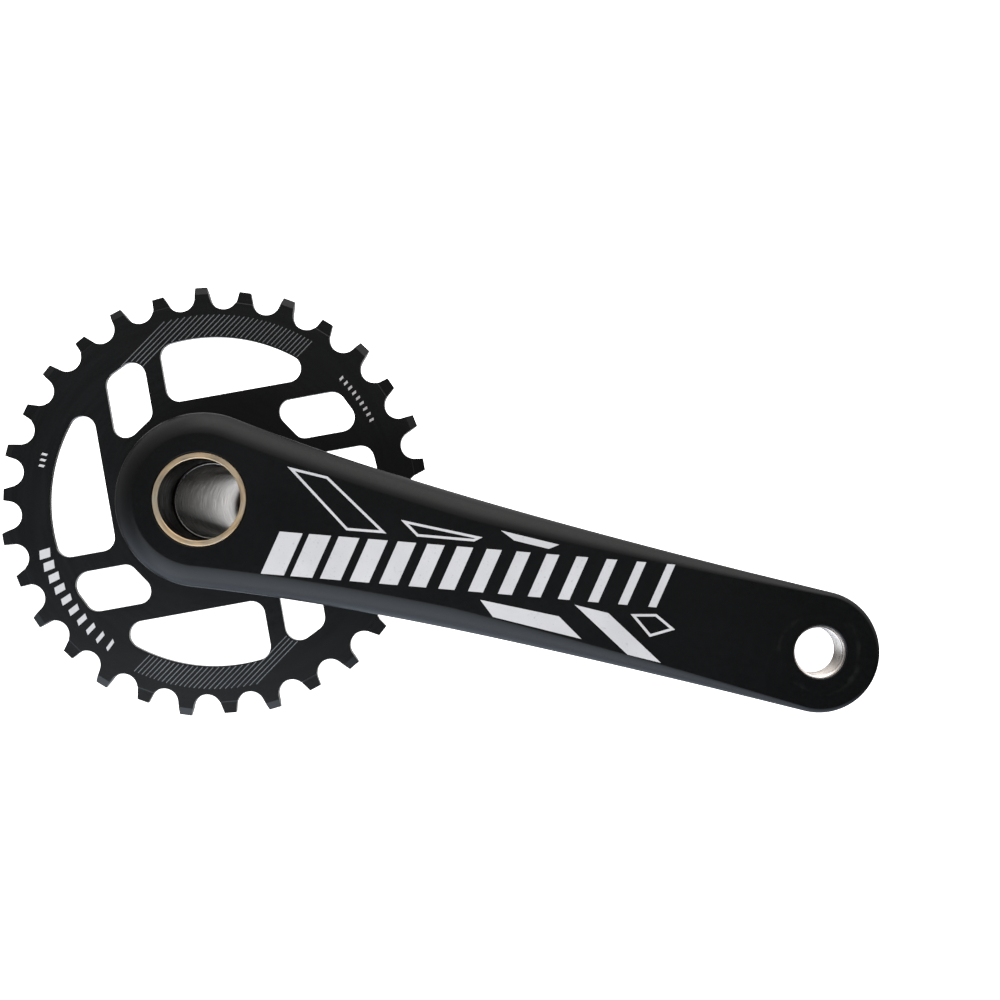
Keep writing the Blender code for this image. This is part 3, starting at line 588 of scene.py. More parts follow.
def blasted_black(name, dark, light, smooth, rough, level):
    """Bead-blasted, anodised aluminium: a fine grain, and faint smudges in its gloss."""
    return material(
        name,
        lambda t: blended(t, washer_scuffs(t), mottled(t, dark, light, 38), SCUFF_GREY),
        lambda t: maths(t, "ADD", uneven(t, smooth, rough, 24, 5), uneven(t, -0.03, 0.03, 900, 2)),
        grain(2400, 2, 0.012 * MM),
        Specular_IOR_Level=level,
    )


def machined_black(name, dark, light, smooth, rough, level):
    """Turned, anodised aluminium: fine rings round the spindle's direction under the black."""
    return material(
        name,
        lambda t: mottled(t, dark, light, 30),
        lambda t: ranged(t, noise(t, lathe_place(t, 3, 900), 1, 4), smooth, rough),
        lambda t: (noise(t, lathe_place(t, 2, 4500), 1, 2), 0.006 * MM),
        Specular_IOR_Level=level,
    )


def bore_painted_shade(tree):
    """Painted shade in the bore: it fades out inward, and lies full above and below a widening bright band,
    which is a painted reflection.
    """
    parts = split_place(tree)
    inward = ranged(tree, parts["Y"], 1.0, 0.0, *BORE_SHADE_REACH)
    band = ranged(tree, parts["Y"], *REFLECTION_BAND_HALF_HEIGHT, *REFLECTION_BAND_REACH)
    beyond = maths(tree, "SUBTRACT", maths(tree, "ABSOLUTE", parts["Z"]), band)
    return maths(tree, "MAXIMUM", inward, ranged(tree, beyond, 0.0, 0.9, *REFLECTION_BAND_EDGE))


def thread_painted_shade(tree):
    """Painted shade over the upper half of the pedal thread."""
    return ranged(tree, split_place(tree)["Z"], 0.0, 0.5, *THREAD_SHADE_REACH)


def turned_metal(name, first, second, smooth, rough, centre_x=0.0, shade_mask=None):
    """Bare metal with lathe marks, its tint drifting between two colours, and painted shade laid over it
    where a shade mask is given.
    """
    def colour(tree):
        drift = ranged(tree, noise(tree, lathe_place(tree, 1.6, 60, centre_x), 1, 3), 0, 1)
        tint = blended(tree, drift, first, second)
        return blended(tree, shade_mask(tree), tint, PAINTED_SHADE_TINT) if shade_mask else tint
    made = material(
        name,
        colour,
        lambda t: ranged(t, noise(t, lathe_place(t, 2.2, 1500, centre_x), 1, 3), smooth, rough),
        lambda t: (noise(t, lathe_place(t, 1.5, 4000, centre_x), 1, 2), 0.01 * MM),
        Metallic=1.0,
    )
    # Where the painted shade lies, the reflections are dimmed too: painted shade on the specular tint
    if shade_mask:
        tree = made.node_tree
        dimmed_specular_tint = blended(tree, shade_mask(tree), (1, 1, 1, 1), PAINTED_SHADE_SPECULAR_TINT)
        tree.links.new(dimmed_specular_tint, tree.nodes["Principled BSDF"].inputs["Specular Tint"])
    return made


def moulded(name, dark, light, smooth, rough, grain_scale, depth):
    """Plastic or rubber with a moulded grain."""
    return material(
        name,
        lambda t: mottled(t, dark, light, 60),
        lambda t: uneven(t, smooth, rough, 260, 4),
        grain(grain_scale, 3, depth),
    )


def printed(name, dark, light):
    """Ink or laser-marked lines: pale, with small specks where the ground shows through."""
    def colour(tree):
        speck = ranged(tree, noise(tree, place(tree), 1500, 2), 1, 0, 0.28, 0.36)
        ink = mottled(tree, light, dark, 90)
        return blended(tree, maths(tree, "MULTIPLY", speck, 0.35), ink, grey(0.25))
    return material(name, colour, lambda t: uneven(t, 0.42, 0.6, 400), grain(2400, 2, 0.006 * MM))


ARM_BLACK = blasted_black("arm_black_anodised", grey(0.0015), grey(0.0028), 0.31, 0.39, 0.2)
RING_BLACK = machined_black("ring_black_anodised", grey(0.002), grey(0.004), 0.32, 0.42, 0.25)
RING_WALL_BLACK = machined_black("ring_wall_black_anodised", grey(0.004), grey(0.008), 0.16, 0.26, 0.9)
CUP_BLACK = machined_black("cup_black_anodised", grey(0.007), grey(0.011), 0.28, 0.40, 0.4)
HEAD_NICKEL = turned_metal("head_nickel", (0.82, 0.57, 0.32, 1), (0.52, 0.44, 0.33, 1), 0.30, 0.48)
BORE_DARK = turned_metal("bore_dark", (0.011, 0.008, 0.006, 1), (0.027, 0.021, 0.018, 1), 0.35, 0.6)
# The bore's steel carries painted shade round a bright band that is a painted reflection
BORE_STEEL = turned_metal(
    "bore_steel", (0.64, 0.61, 0.59, 1), (0.56, 0.54, 0.52, 1), 0.22, 0.42, shade_mask=bore_painted_shade
)
SHAFT_STEEL = turned_metal("shaft_steel", (0.58, 0.57, 0.55, 1), (0.46, 0.45, 0.44, 1), 0.20, 0.34)
BEARING_STEEL = turned_metal("bearing_steel", (0.62, 0.62, 0.64, 1), (0.52, 0.53, 0.55, 1), 0.10, 0.22)
# The pedal thread carries painted shade over its upper half
THREAD_METAL = turned_metal(
    "pedal_thread_aluminium", (0.84, 0.77, 0.71, 1), (0.66, 0.60, 0.56, 1), 0.22, 0.40,
    ARM_LENGTH, thread_painted_shade,
)
SCREW_BLACK = turned_metal("screw_black_oxide", (0.05, 0.05, 0.055, 1), (0.03, 0.03, 0.032, 1), 0.3, 0.5)
SEAL_RUBBER = moulded("seal_rubber", grey(0.016), grey(0.026), 0.6, 0.8, 1800, 0.012 * MM)
BLACK_PLASTIC = moulded("black_plastic", grey(0.018), grey(0.028), 0.42, 0.58, 1400, 0.015 * MM)
FACE_INK = printed("face_ink", (0.55, 0.525, 0.51, 1), (0.61, 0.58, 0.565, 1))
ETCHED_LINE = printed("etched_line", (0.12, 0.12, 0.125, 1), (0.18, 0.18, 0.18, 1))


# ---- pieces

def add_piece(name, mesh, looks, body, nodes=()):
    """Turns a mesh into the row frame and makes it a piece that rides on a body."""
    mesh.transform(VIEW_TO_WORLD)
    for look in looks:
        mesh.materials.append(look)
    mesh.shade_smooth()
    mesh.set_sharp_from_angle(angle=SHARP_ANGLE)
    piece = bpy.data.objects.new(name, mesh)
    bpy.context.scene.collection.objects.link(piece)
    piece.modifiers.new("even_normals", "WEIGHTED_NORMAL").keep_sharp = True
    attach(piece, body)
    if nodes:
        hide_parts(*nodes)
    return piece


def tooth_outline():
    """The sprocket's edge: a round seat for each roller and a flat-topped tooth between seats."""
    outline = []
    for tooth in range(TEETH):
        middle = tooth * TOOTH_PITCH
        tip = WIDE_TIP_RADIUS if tooth % 2 else NARROW_TIP_RADIUS
        outline.append(polar(tip, middle - TOOTH_TIP_HALF_ANGLE))
        outline.append(polar(tip, middle + TOOTH_TIP_HALF_ANGLE))
        seat_angle = middle + TOOTH_PITCH / 2 - TOOTH_LEAN
        seat = polar(PITCH_RADIUS, seat_angle)
        inward = seat_angle + math.pi
        outline += arc(
            seat, ROLLER_SEAT_RADIUS, inward + SEAT_HALF_ANGLE, inward - SEAT_HALF_ANGLE, 17
        )
    return outline


def line_crossing(limit_a, limit_b):
    """Where two straight limits (normal angle, distance) cross."""
    (angle_a, reach_a), (angle_b, reach_b) = limit_a, limit_b
    turn = math.sin(angle_b - angle_a)
    x = (reach_a * math.sin(angle_b) - reach_b * math.sin(angle_a)) / turn
    y = (reach_b * math.cos(angle_a) - reach_a * math.cos(angle_b)) / turn
    return (x, y)


def rim_crossing(limit, radius, side):
    """Where a straight limit meets a circle about the axis, on the side asked for."""
    angle, reach = limit
    along = side * math.sqrt(radius ** 2 - reach ** 2)
    return (
        reach * math.cos(angle) - along * math.sin(angle),
        reach * math.sin(angle) + along * math.cos(angle),
    )


def window_outline():
    """A large window: one straight spoke line, one short end and the rim, with round corners."""
    spoke = (-math.pi / 2, -SPOKE_LINE - WINDOW_CORNER)
    end = (math.pi, WINDOW_END - WINDOW_CORNER)
    rim = RIM_INNER_RADIUS - WINDOW_CORNER
    inner = line_crossing(spoke, end)
    far = rim_crossing(spoke, rim, 1)
    near = rim_crossing(end, rim, -1)
    far_angle = math.atan2(far[1], far[0])
    near_angle = math.atan2(near[1], near[0])
    outline = arc(inner, WINDOW_CORNER, math.pi, 1.5 * math.pi, 12)
    outline += arc(far, WINDOW_CORNER, -math.pi / 2, far_angle, 16)
    outline += arc((0, 0), RIM_INNER_RADIUS, far_angle, near_angle, 40)[1:-1]
    outline += arc(near, WINDOW_CORNER, near_angle, math.pi, 12)
    return outline


def slot_outline():
    """A short slot between two spokes, from the hub's slanting flat to the rim."""
    rim = RIM_INNER_RADIUS - SLOT_CORNER
    right_top = rim_crossing((0, -SLOT_NEAR - SLOT_CORNER), rim, 1)
    left_top = rim_crossing((math.pi, SLOT_FAR - SLOT_CORNER), rim, -1)
    right_angle = math.atan2(right_top[1], right_top[0])
    left_angle = math.atan2(left_top[1], left_top[0])
    near = (0, -SLOT_NEAR - HUB_CORNER)
    far = (math.pi, SLOT_FAR - HUB_CORNER)
    base = (-math.pi / 2, -SLOT_BASE - HUB_CORNER)
    flat = (HUB_FLAT_TURN - math.pi, -HUB_FLAT - HUB_CORNER)
    outline = arc(line_crossing(base, far), HUB_CORNER, math.pi, 1.5 * math.pi, 12)
    outline += arc(line_crossing(flat, base), HUB_CORNER, base[0], flat[0], 6)
    outline += arc(line_crossing(near, flat), HUB_CORNER, flat[0], near[0], 8)
    outline += arc(right_top, SLOT_CORNER, 0, right_angle, 12)
    outline += arc(left_top, SLOT_CORNER, left_angle, math.pi, 12)
    return outline


def ring_holes():
    """The outlines of the windows and slots, four of each."""
    holes = []
    for quarter in range(WINDOW_COUNT):
        turn = WINDOW_TURN - math.pi / 2 + quarter * math.tau / WINDOW_COUNT
        holes.append(rotated(window_outline(), turn))
        holes.append(rotated(slot_outline(), turn))
    return holes


def bolt_places():
    return [
        polar(BOLT_CIRCLE_RADIUS, math.radians(90) + number * math.tau / BOLT_COUNT)
        for number in range(BOLT_COUNT)
    ]


def tip_chamfer(face, direction):
    """A turned cutter that slopes the tooth tips away from one face."""
    outside = WIDE_TIP_RADIUS + OVERRUN
    slope = TIP_CHAMFER_DEPTH / (WIDE_TIP_RADIUS - TIP_CHAMFER_RADIUS)
    deep = face - direction * slope * (outside - TIP_CHAMFER_RADIUS)
    clear = face + direction * OVERRUN
    return lathed("tip_chamfer", [
        (outside, clear), (outside, deep), (TIP_CHAMFER_RADIUS, face), (TIP_CHAMFER_RADIUS, clear),
    ], 8 * TEETH)


def narrow_tooth_reliefs():
    """Blocks with round edges that thin every second tooth from both faces."""
    work = bmesh.new()
    thinning = RING_OUTBOARD - RING_INBOARD - NARROW_TOOTH_THICKNESS
    middle = RELIEF_INNER_RADIUS + RELIEF_LENGTH / 2
    for tooth in range(0, TEETH, 2):
        for face in (RING_OUTBOARD, RING_INBOARD):
            block = bmesh.new()
            bmesh.ops.create_cube(block, size=1)
            bmesh.ops.scale(block, verts=block.verts, vec=(RELIEF_LENGTH, RELIEF_WIDTH, thinning))
            bmesh.ops.bevel(
                block, geom=block.edges[:], offset=RELIEF_ROUND, segments=3, profile=0.5, affect="EDGES"
            )
            bmesh.ops.translate(block, verts=block.verts, vec=(middle, 0, face))
            bmesh.ops.rotate(
                block, verts=block.verts, cent=(0, 0, 0), matrix=Matrix.Rotation(tooth * TOOTH_PITCH, 3, "Z")
            )
            part = bpy.data.meshes.new("relief")
            block.to_mesh(part)
            block.free()
            work.from_mesh(part)
            bpy.data.meshes.remove(part)
    return finished(work, "narrow_tooth_reliefs")


def chainring():
    holes = ring_holes()
    holes.append(spline_outline(SPLINE_ROOT_RADIUS + GAP, SPLINE_TIP_RADIUS + GAP, SPLINE_COUNT))
    for centre in bolt_places():
        holes.append(circle(centre, BOLT_SHANK_RADIUS + GAP, 32))
    mesh = plate("chainring_plate", [tooth_outline(), *holes], RING_INBOARD, RING_OUTBOARD, PLATE_EDGE)
    web_high = RING_OUTBOARD - WEB_THICKNESS
    web_pocket = lathed("web_pocket", [
        (WEB_OUTER_RADIUS + OVERRUN, RING_INBOARD - OVERRUN),
        *filleted([
            (WEB_OUTER_RADIUS, RING_INBOARD),
            (WEB_OUTER_RADIUS, web_high),
            (WEB_INNER_RADIUS, web_high),
            (WEB_INNER_RADIUS, RING_INBOARD),
        ], WEB_CORNER, 4, closed=False),
        (WEB_INNER_RADIUS - OVERRUN, RING_INBOARD - OVERRUN),
    ], ROUND)
    cuts = [tip_chamfer(RING_OUTBOARD, 1), tip_chamfer(RING_INBOARD, -1), narrow_tooth_reliefs(), web_pocket]
    seat_radius = BOLT_HEAD_RADIUS + GAP
    seat_top = RING_INBOARD + BOLT_HEAD_HEIGHT + GAP
    for centre in bolt_places():
        cuts.append(lathed("bolt_seat", [
            (0, RING_INBOARD - OVERRUN),
            (seat_radius + OVERRUN, RING_INBOARD - OVERRUN),
            (seat_radius, RING_INBOARD + BOLT_SEAT_CHAMFER),
            (seat_radius, seat_top),
            (0, seat_top),
        ], SMALL_ROUND, closed=False, centre=centre))
    mesh = carved(mesh, cuts)
    for face in mesh.polygons:
        is_wall = abs(face.normal.z) < WALL_STEEPNESS
        if is_wall and math.hypot(face.center.x, face.center.y) < ETCH_OUTER_RADIUS:
            face.material_index = 1
    add_piece("chainring_plate", mesh, [RING_BLACK, RING_WALL_BLACK], "crank", ["chainring"])


def chainring_bolts():
    """Low-head screws with a six-lobe socket, put in from the inboard side."""
    low = RING_INBOARD
    high = -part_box("chainring_bolt_1")[0].y
    head_under = low + BOLT_HEAD_HEIGHT
    thread_start = head_under + BOLT_PLAIN_SHANK
    thread_end = high - BOLT_TIP_LENGTH
    tip = [(0, high), (BOLT_SHANK_RADIUS - BOLT_TIP_INSET, high), (BOLT_SHANK_RADIUS, thread_end)]
    head = filleted([
        (BOLT_SHANK_RADIUS, head_under),
        (BOLT_HEAD_RADIUS, head_under),
        (BOLT_HEAD_RADIUS, low + BOLT_HEAD_CHAMFER),
        (BOLT_HEAD_RADIUS - BOLT_HEAD_CHAMFER, low),
    ], 0.15 * MM, 3, closed=False)
    lobes = []
    for corner in range(12):
        share = 1 if corner % 2 else BOLT_SOCKET_WAIST
        lobes.append(polar(BOLT_SOCKET_RADIUS * share, corner * math.tau / 12))
    for number, centre in enumerate(bolt_places(), 1):
        work = bmesh.new()
        lathe(work, tip, SMALL_ROUND, closed=False, centre=centre)
        thread_wall(work, BOLT_SHANK_RADIUS, BOLT_THREAD_DEPTH, BOLT_THREAD_PITCH, thread_start, thread_end,
                    SMALL_ROUND, centre)
        lathe(work, [(BOLT_SHANK_RADIUS, thread_start), *head, (0, low)], SMALL_ROUND, closed=False,
              centre=centre)
        mesh = finished(work, f"chainring_screw_{number}")
        socket = plate("socket", [filleted(shifted(lobes, centre), 0.5 * MM, 4)],
                       low - OVERRUN, low + BOLT_SOCKET_DEPTH)
        mesh = carved(mesh, [socket])
        add_piece(f"chainring_screw_{number}", mesh, [SCREW_BLACK], "crank",
                  [f"chainring_bolt_{number}"])


def eased(value, start, end):
    """0 before the start, 1 after the end and an even S between them."""
    t = min(max((value - start) / (end - start), 0), 1)
    return t * t * (3 - 2 * t)


def face_height(x):
    return between(BOSS_FACE, PEDAL_FACE, eased(x, FACE_RISE_START, FACE_RISE_END))


def back_height(x):
    step = (ARM_BACK - BOSS_BACK) * eased(x, BACK_STEP_START, BACK_STEP_END)
    sweep = (PEDAL_BACK - ARM_BACK) * eased(x, BACK_STEP_END, FACE_RISE_END)
    return BOSS_BACK + step + sweep


def arm_edge():
    """Half of the arm's outline with its outward directions, from the boss to the pedal end."""
    points = []
    for x, y in arc((0, 0), BOSS_RADIUS, math.pi, BOSS_TANGENT, 56):
        points.append(((x, y), (x / BOSS_RADIUS, y / BOSS_RADIUS)))
    start = polar(BOSS_RADIUS, BOSS_TANGENT)
    end = (EDGE_END_X, PEDAL_END_RADIUS)
    segments = 72
    for i in range(1, segments + 1):
        t = i / segments
        x, y = [
            (1 - t) ** 2 * a + 2 * t * (1 - t) * b + t ** 2 * c
            for a, b, c in zip(start, EDGE_CONTROL, end)
        ]
        dx, dy = [
            2 * (1 - t) * (b - a) + 2 * t * (c - b)
            for a, b, c in zip(start, EDGE_CONTROL, end)
        ]
        length = math.hypot(dx, dy)
        points.append(((x, y), (-dy / length, dx / length)))
    for i in range(1, 8):
        points.append(((between(EDGE_END_X, ARM_LENGTH, i / 8), PEDAL_END_RADIUS), (0, 1)))
    for x, y in arc((ARM_LENGTH, 0), PEDAL_END_RADIUS, math.pi / 2, 0, 40):
        points.append(((x, y), ((x - ARM_LENGTH) / PEDAL_END_RADIUS, y / PEDAL_END_RADIUS)))
    return points


def arm_levels():
    """(is in front, share of the bevel's width, share of its depth) for each loop, from back to front."""
    levels = []
    for i in range(5):
        turn = i / 4 * math.pi / 2
        levels.append((False, 1 - math.sin(turn), 1 - math.cos(turn)))
    front_steps = 14
    for i in range(front_steps + 1):
        turn = i / front_steps * math.pi / 2
        across = math.cos(turn) ** (2 / BEVEL_SQUARENESS)
        up = math.sin(turn) ** (2 / BEVEL_SQUARENESS)
        levels.append((True, 1 - across, 1 - up))
    return levels


def arm_body():
    """The forged blade, lofted between its edge loops, with strips across both faces."""
    edge = arm_edge()
    half = len(edge)
    loop_length = 2 * half - 2
    work = bmesh.new()
    loops = []
    for in_front, inset, drop in arm_levels():
        height = face_height if in_front else back_height
        upper = []
        for (x, y), (nx, ny) in edge:
            width, depth = BACK_BEVEL, -BACK_BEVEL
            if in_front:
                taper = min(max((x - BEVEL_TAPER_START) / (ARM_LENGTH - BEVEL_TAPER_START), 0), 1)
                width = between(BEVEL_WIDTH, BEVEL_WIDTH_AT_PEDAL, taper)
                depth = between(BEVEL_DEPTH, BEVEL_DEPTH_AT_PEDAL, taper)
            px = x - nx * inset * width
            py = y - ny * inset * width
            upper.append((px, py, height(px) - drop * depth))
        lower = [(px, -py, pz) for px, py, pz in reversed(upper[1:-1])]
        loops.append([work.verts.new(point) for point in upper + lower])
    bridge(work, loops)
    for loop in (loops[0], loops[-1]):
        for i in range(half - 1):
            add_face(work, [loop[i], loop[i + 1], loop[(-i - 1) % loop_length], loop[-i % loop_length]])
    return finished(work, "arm_forging")


def hole_cutter(radius, low, high, centre=(0, 0), steps=ROUND, blind=False):
    """A round cutter from one face to another, with chamfered mouths; a blind hole has only the low one."""
    flare = radius + HOLE_CHAMFER + OVERRUN
    profile = [(0, low - OVERRUN), (flare, low - OVERRUN), (radius, low + HOLE_CHAMFER)]
    if blind:
        profile += [(radius, high), (0, high)]
    else:
        profile += [(radius, high - HOLE_CHAMFER), (flare, high + OVERRUN), (0, high + OVERRUN)]
    return lathed("hole", profile, steps, closed=False, centre=centre)


def drive_arm():
    arm = arm_body()
    spigot = plate(
        "arm_spigot", [spline_outline(SPLINE_ROOT_RADIUS, SPLINE_TIP_RADIUS, SPLINE_COUNT)],
        SPIGOT_INBOARD, BOSS_BACK + 2 * OVERRUN, 0.2 * MM,
    )
    arm = carved(arm, [spigot], "UNION")
    cuts = [
        hole_cutter(HEAD_RADIUS + HOLE_FIT, SPIGOT_INBOARD, BOSS_FACE),
        hole_cutter(PEDAL_HOLE_RADIUS + LINER_FIT, PEDAL_BACK, PEDAL_FACE, (ARM_LENGTH, 0)),
    ]
    hole_end = -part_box("chainring_bolt_1")[0].y + OVERRUN
    for centre in bolt_places():
        cuts.append(hole_cutter(
            BOLT_SHANK_RADIUS + HOLE_FIT, BOSS_BACK, hole_end, centre, SMALL_ROUND, blind=True
        ))
    add_piece("arm_forging", carved(arm, cuts), [ARM_BLACK], "crank", ["drive_arm"])


def pedal_thread():
    """The bright thread cut in the pedal hole, with its chamfered mouths."""
    outer = PEDAL_HOLE_RADIUS
    inner = outer - LINER_INSET
    centre = (ARM_LENGTH, 0)
    work = bmesh.new()
    low = PEDAL_BACK + PEDAL_CHAMFER
    high = PEDAL_FACE - PEDAL_CHAMFER
    thread_wall(work, inner, PEDAL_THREAD_DEPTH, PEDAL_THREAD_PITCH, low, high, ROUND, centre)
    lathe(work, [
        (inner, high),
        (outer - LINER_FIT, PEDAL_FACE - HOLE_CHAMFER),
        (outer, PEDAL_FACE - LINER_EDGE),
        (outer, PEDAL_BACK + LINER_EDGE),
        (outer - LINER_FIT, PEDAL_BACK + HOLE_CHAMFER),
        (inner, low),
    ], ROUND, closed=False, centre=centre)
    add_piece("pedal_thread", finished(work, "pedal_thread"), [THREAD_METAL], "crank")


def spindle():
    """A tube with a head in the arm, one journal for both bearings and a splined, threaded left end."""
    floor = BOSS_FACE - HEAD_BORE_DEPTH
    mouth = SPINDLE_END + SPINDLE_CHAMFER
    profile = [
        (LEFT_BORE_RADIUS, LEFT_THREAD_START),
        (LEFT_BORE_RADIUS, LEFT_BORE_START),
        (JOURNAL_BORE_RADIUS, LEFT_BORE_START + LEFT_BORE_TAPER),
        (JOURNAL_BORE_RADIUS, floor),
        (HEAD_BORE_RADIUS, floor),
        (HEAD_BORE_RADIUS, BOSS_FACE),
        (HEAD_RADIUS, BOSS_FACE),
        (HEAD_RADIUS, HEAD_END),
        (JOURNAL_RADIUS, HEAD_END),
        (JOURNAL_RADIUS, LEFT_SPLINE_START),
        (LEFT_SPLINE_TIP_RADIUS, LEFT_SPLINE_START),
        (LEFT_SPLINE_TIP_RADIUS, mouth),
        (LEFT_SPLINE_TIP_RADIUS - SPINDLE_CHAMFER, SPINDLE_END),
        (LEFT_BORE_RADIUS + SPINDLE_CHAMFER, SPINDLE_END),
        (LEFT_BORE_RADIUS, mouth),
    ]
    work = bmesh.new()
    lathe(work, filleted(profile, SPINDLE_ROUND, 3, closed=False), ROUND, closed=False)
    thread_wall(
        work, LEFT_BORE_RADIUS, LEFT_THREAD_DEPTH, LEFT_THREAD_PITCH, mouth, LEFT_THREAD_START, ROUND
    )
    mesh = finished(work, "spindle_tube")
    root = LEFT_SPLINE_TIP_RADIUS - LEFT_SPLINE_DEPTH
    teeth = spline_outline(root, LEFT_SPLINE_TIP_RADIUS + OVERRUN, LEFT_SPLINE_COUNT)
    surround = circle((0, 0), JOURNAL_RADIUS + 3 * OVERRUN, 72)
    spline_end = LEFT_SPLINE_START - LEFT_SPLINE_RUNOUT
    broach = plate("left_broach", [surround, teeth], SPINDLE_END - OVERRUN, spline_end)
    mesh = carved(mesh, [broach])
    looks = [HEAD_NICKEL, BORE_DARK, BORE_STEEL, SHAFT_STEEL]
    for face in mesh.polygons:
        x, y, z = face.center
        radius = math.hypot(x, y)
        look = HEAD_NICKEL
        if radius < HEAD_BORE_RADIUS - FACE_MARGIN and z < floor:
            look = BORE_STEEL if radius < JOURNAL_BORE_RADIUS else SHAFT_STEEL
        elif radius < HEAD_BORE_RADIUS + FACE_MARGIN and floor - GAP < z < BOSS_FACE - NICKEL_EDGE:
            look = BORE_DARK
        elif z < HEAD_END + GAP:
            look = SHAFT_STEEL
        face.material_index = looks.index(look)
    add_piece("spindle_tube", mesh, looks, "crank", ["spindle"])


def sided(profile, side):
    """A (radius, outboard distance) profile on its own side."""
    return [(radius, side * distance) for radius, distance in profile]


def cup(side):
    """A threaded cup with a notched flange and the bearing's pocket."""
    name = SIDE_NAME[side]
    start = FLANGE_START[side]
    face = start + FLANGE_FLOOR + BEARING_WIDTH + BEARING_RECESS
    pocket = BEARING_OUTER_RADIUS + GAP
    thread_start = THREAD_INNER_END + CUP_END_CHAMFER
    thread_end = start - CUP_RELIEF_LENGTH
    work = bmesh.new()
    lathe(work, filleted(sided([
        (THREAD_RADIUS, thread_end),
        (THREAD_RADIUS - CUP_RELIEF_DEPTH, thread_end + CUP_RELIEF_RAMP),
        (THREAD_RADIUS - CUP_RELIEF_DEPTH, start),
        (CUP_FLANGE_RADIUS, start),
        (CUP_FLANGE_RADIUS, face - CUP_FLANGE_EDGE),
        (CUP_FLANGE_RADIUS - CUP_FLANGE_EDGE, face),
        (pocket, face),
        (pocket, start + FLANGE_FLOOR - GAP),
        (CUP_BORE_RADIUS, start + FLANGE_FLOOR - GAP),
        (CUP_BORE_RADIUS, THREAD_INNER_END),
        (THREAD_RADIUS - CUP_END_CHAMFER, THREAD_INNER_END),
        (THREAD_RADIUS, thread_start),
    ], side), CUP_ROUND, 3, closed=False), ROUND, closed=False)
    low, high = sorted((side * thread_start, side * thread_end))
    thread_wall(work, THREAD_RADIUS, THREAD_DEPTH, THREAD_PITCH, low, high, ROUND)
    mesh = finished(work, f"{name}_cup_body")
    low, high = sorted((side * (face - NOTCH_DEPTH), side * (face + OVERRUN)))
    notches = bmesh.new()
    for notch in range(NOTCH_COUNT):
        centre = polar(NOTCH_CENTRE_RADIUS, notch * math.tau / NOTCH_COUNT)
        lathe(notches, [(0, low), (NOTCH_RADIUS, low), (NOTCH_RADIUS, high), (0, high)], 32,
              closed=False, centre=centre)
    mesh = carved(mesh, [finished(notches, "notches")])
    add_piece(f"{name}_cup_body", mesh, [CUP_BLACK], "bottom_bracket", [f"{name}_cup"])


def dust_shield(side):
    """A lipped ring on the spindle with a shallow groove in its face."""
    name = SIDE_NAME[side]
    face = FLANGE_START[side] + FLANGE_FLOOR + BEARING_WIDTH + BEARING_RECESS
    inner = JOURNAL_RADIUS + GAP
    outer = face + GAP + SHIELD_THICKNESS
    groove = inner + SHIELD_GROOVE_START
    groove_end = groove + SHIELD_GROOVE_WIDTH
    mesh = lathed(f"{name}_shield", filleted(sided([
        (BEARING_OUTER_RADIUS - 2 * SHIELD_EDGE, outer),
        (BEARING_OUTER_RADIUS, outer - SHIELD_EDGE),
        (BEARING_OUTER_RADIUS, face + GAP),
        (inner + SHIELD_NECK, face + GAP),
        (inner + SHIELD_NECK, face - BEARING_RECESS + GAP),
        (inner, face - BEARING_RECESS + GAP),
        (inner, outer),
        (groove, outer),
        (groove + SHIELD_GROOVE_SLOPE, outer - SHIELD_GROOVE_DEPTH),
        (groove_end - SHIELD_GROOVE_SLOPE, outer - SHIELD_GROOVE_DEPTH),
        (groove_end, outer),
    ], side), 0.15 * MM), ROUND)
    add_piece(f"{name}_shield", mesh, [BLACK_PLASTIC], "crank", [f"{name}_dust_shield"])


def bracket_tube(name, node, inner, edge, look):
    """A plain tube of the bottom bracket with rounded rims."""
    low, high, outer = span(node)
    profile = filleted([(outer, high), (outer, low), (inner, low), (inner, high)], edge)
    add_piece(name, lathed(name, profile, ROUND), [look], "bottom_bracket", [node])


def carried_over():
    """The CAD nodes that stay get their finished materials."""
    looks = {"bearing_steel": BEARING_STEEL, "seal_rubber": SEAL_RUBBER, "black_plastic": BLACK_PLASTIC}
    slots = {part["node"]: part["material_slot"] for part in frame["record"]["subparts"]}
    for name, node in frame["nodes"].items():
        if slots[name] in looks:
            node.data.materials.clear()
            node.data.materials.append(looks[slots[name]])


# ---- marks

def marks(name, outlines, height, look, slice_width=None):
    """Thin raised marks from flat outlines, laid at height(x) and sliced to follow it."""
    work = bmesh.new()
    for outline in outlines:
        work.faces.new([work.verts.new((x, y, 0)) for x, y in outline])
    if slice_width:
        reach = [point.co.x for point in work.verts]
        for cut in range(int(min(reach) / slice_width), int(max(reach) / slice_width) + 1):
            bmesh.ops.bisect_plane(
                work, geom=work.verts[:] + work.edges[:] + work.faces[:],
                plane_co=(cut * slice_width, 0, 0), plane_no=(1, 0, 0),
            )
    bmesh.ops.remove_doubles(work, verts=work.verts, dist=MERGE)
    flat_faces = work.faces[:]
    rim = [edge for edge in work.edges if edge.is_boundary]
    raised = {}
    for point in work.verts[:]:
        point.co.z = height(point.co.x) + MARK_LIFT
        raised[point] = work.verts.new(point.co + Vector((0, 0, MARK_THICKNESS)))
    for face in flat_faces:
        work.faces.new([raised[point] for point in face.verts])
    for edge in rim:
        near, far = edge.verts
        work.faces.new([near, far, raised[far], raised[near]])
    add_piece(name, finished(work, name), [look], "crank")


def leaning(corner, length, height, lean):
    """A parallelogram from its lower left corner."""
    x, y = corner
    return [(x, y), (x + length, y), (x + length + lean, y + height), (x + lean, y + height)]


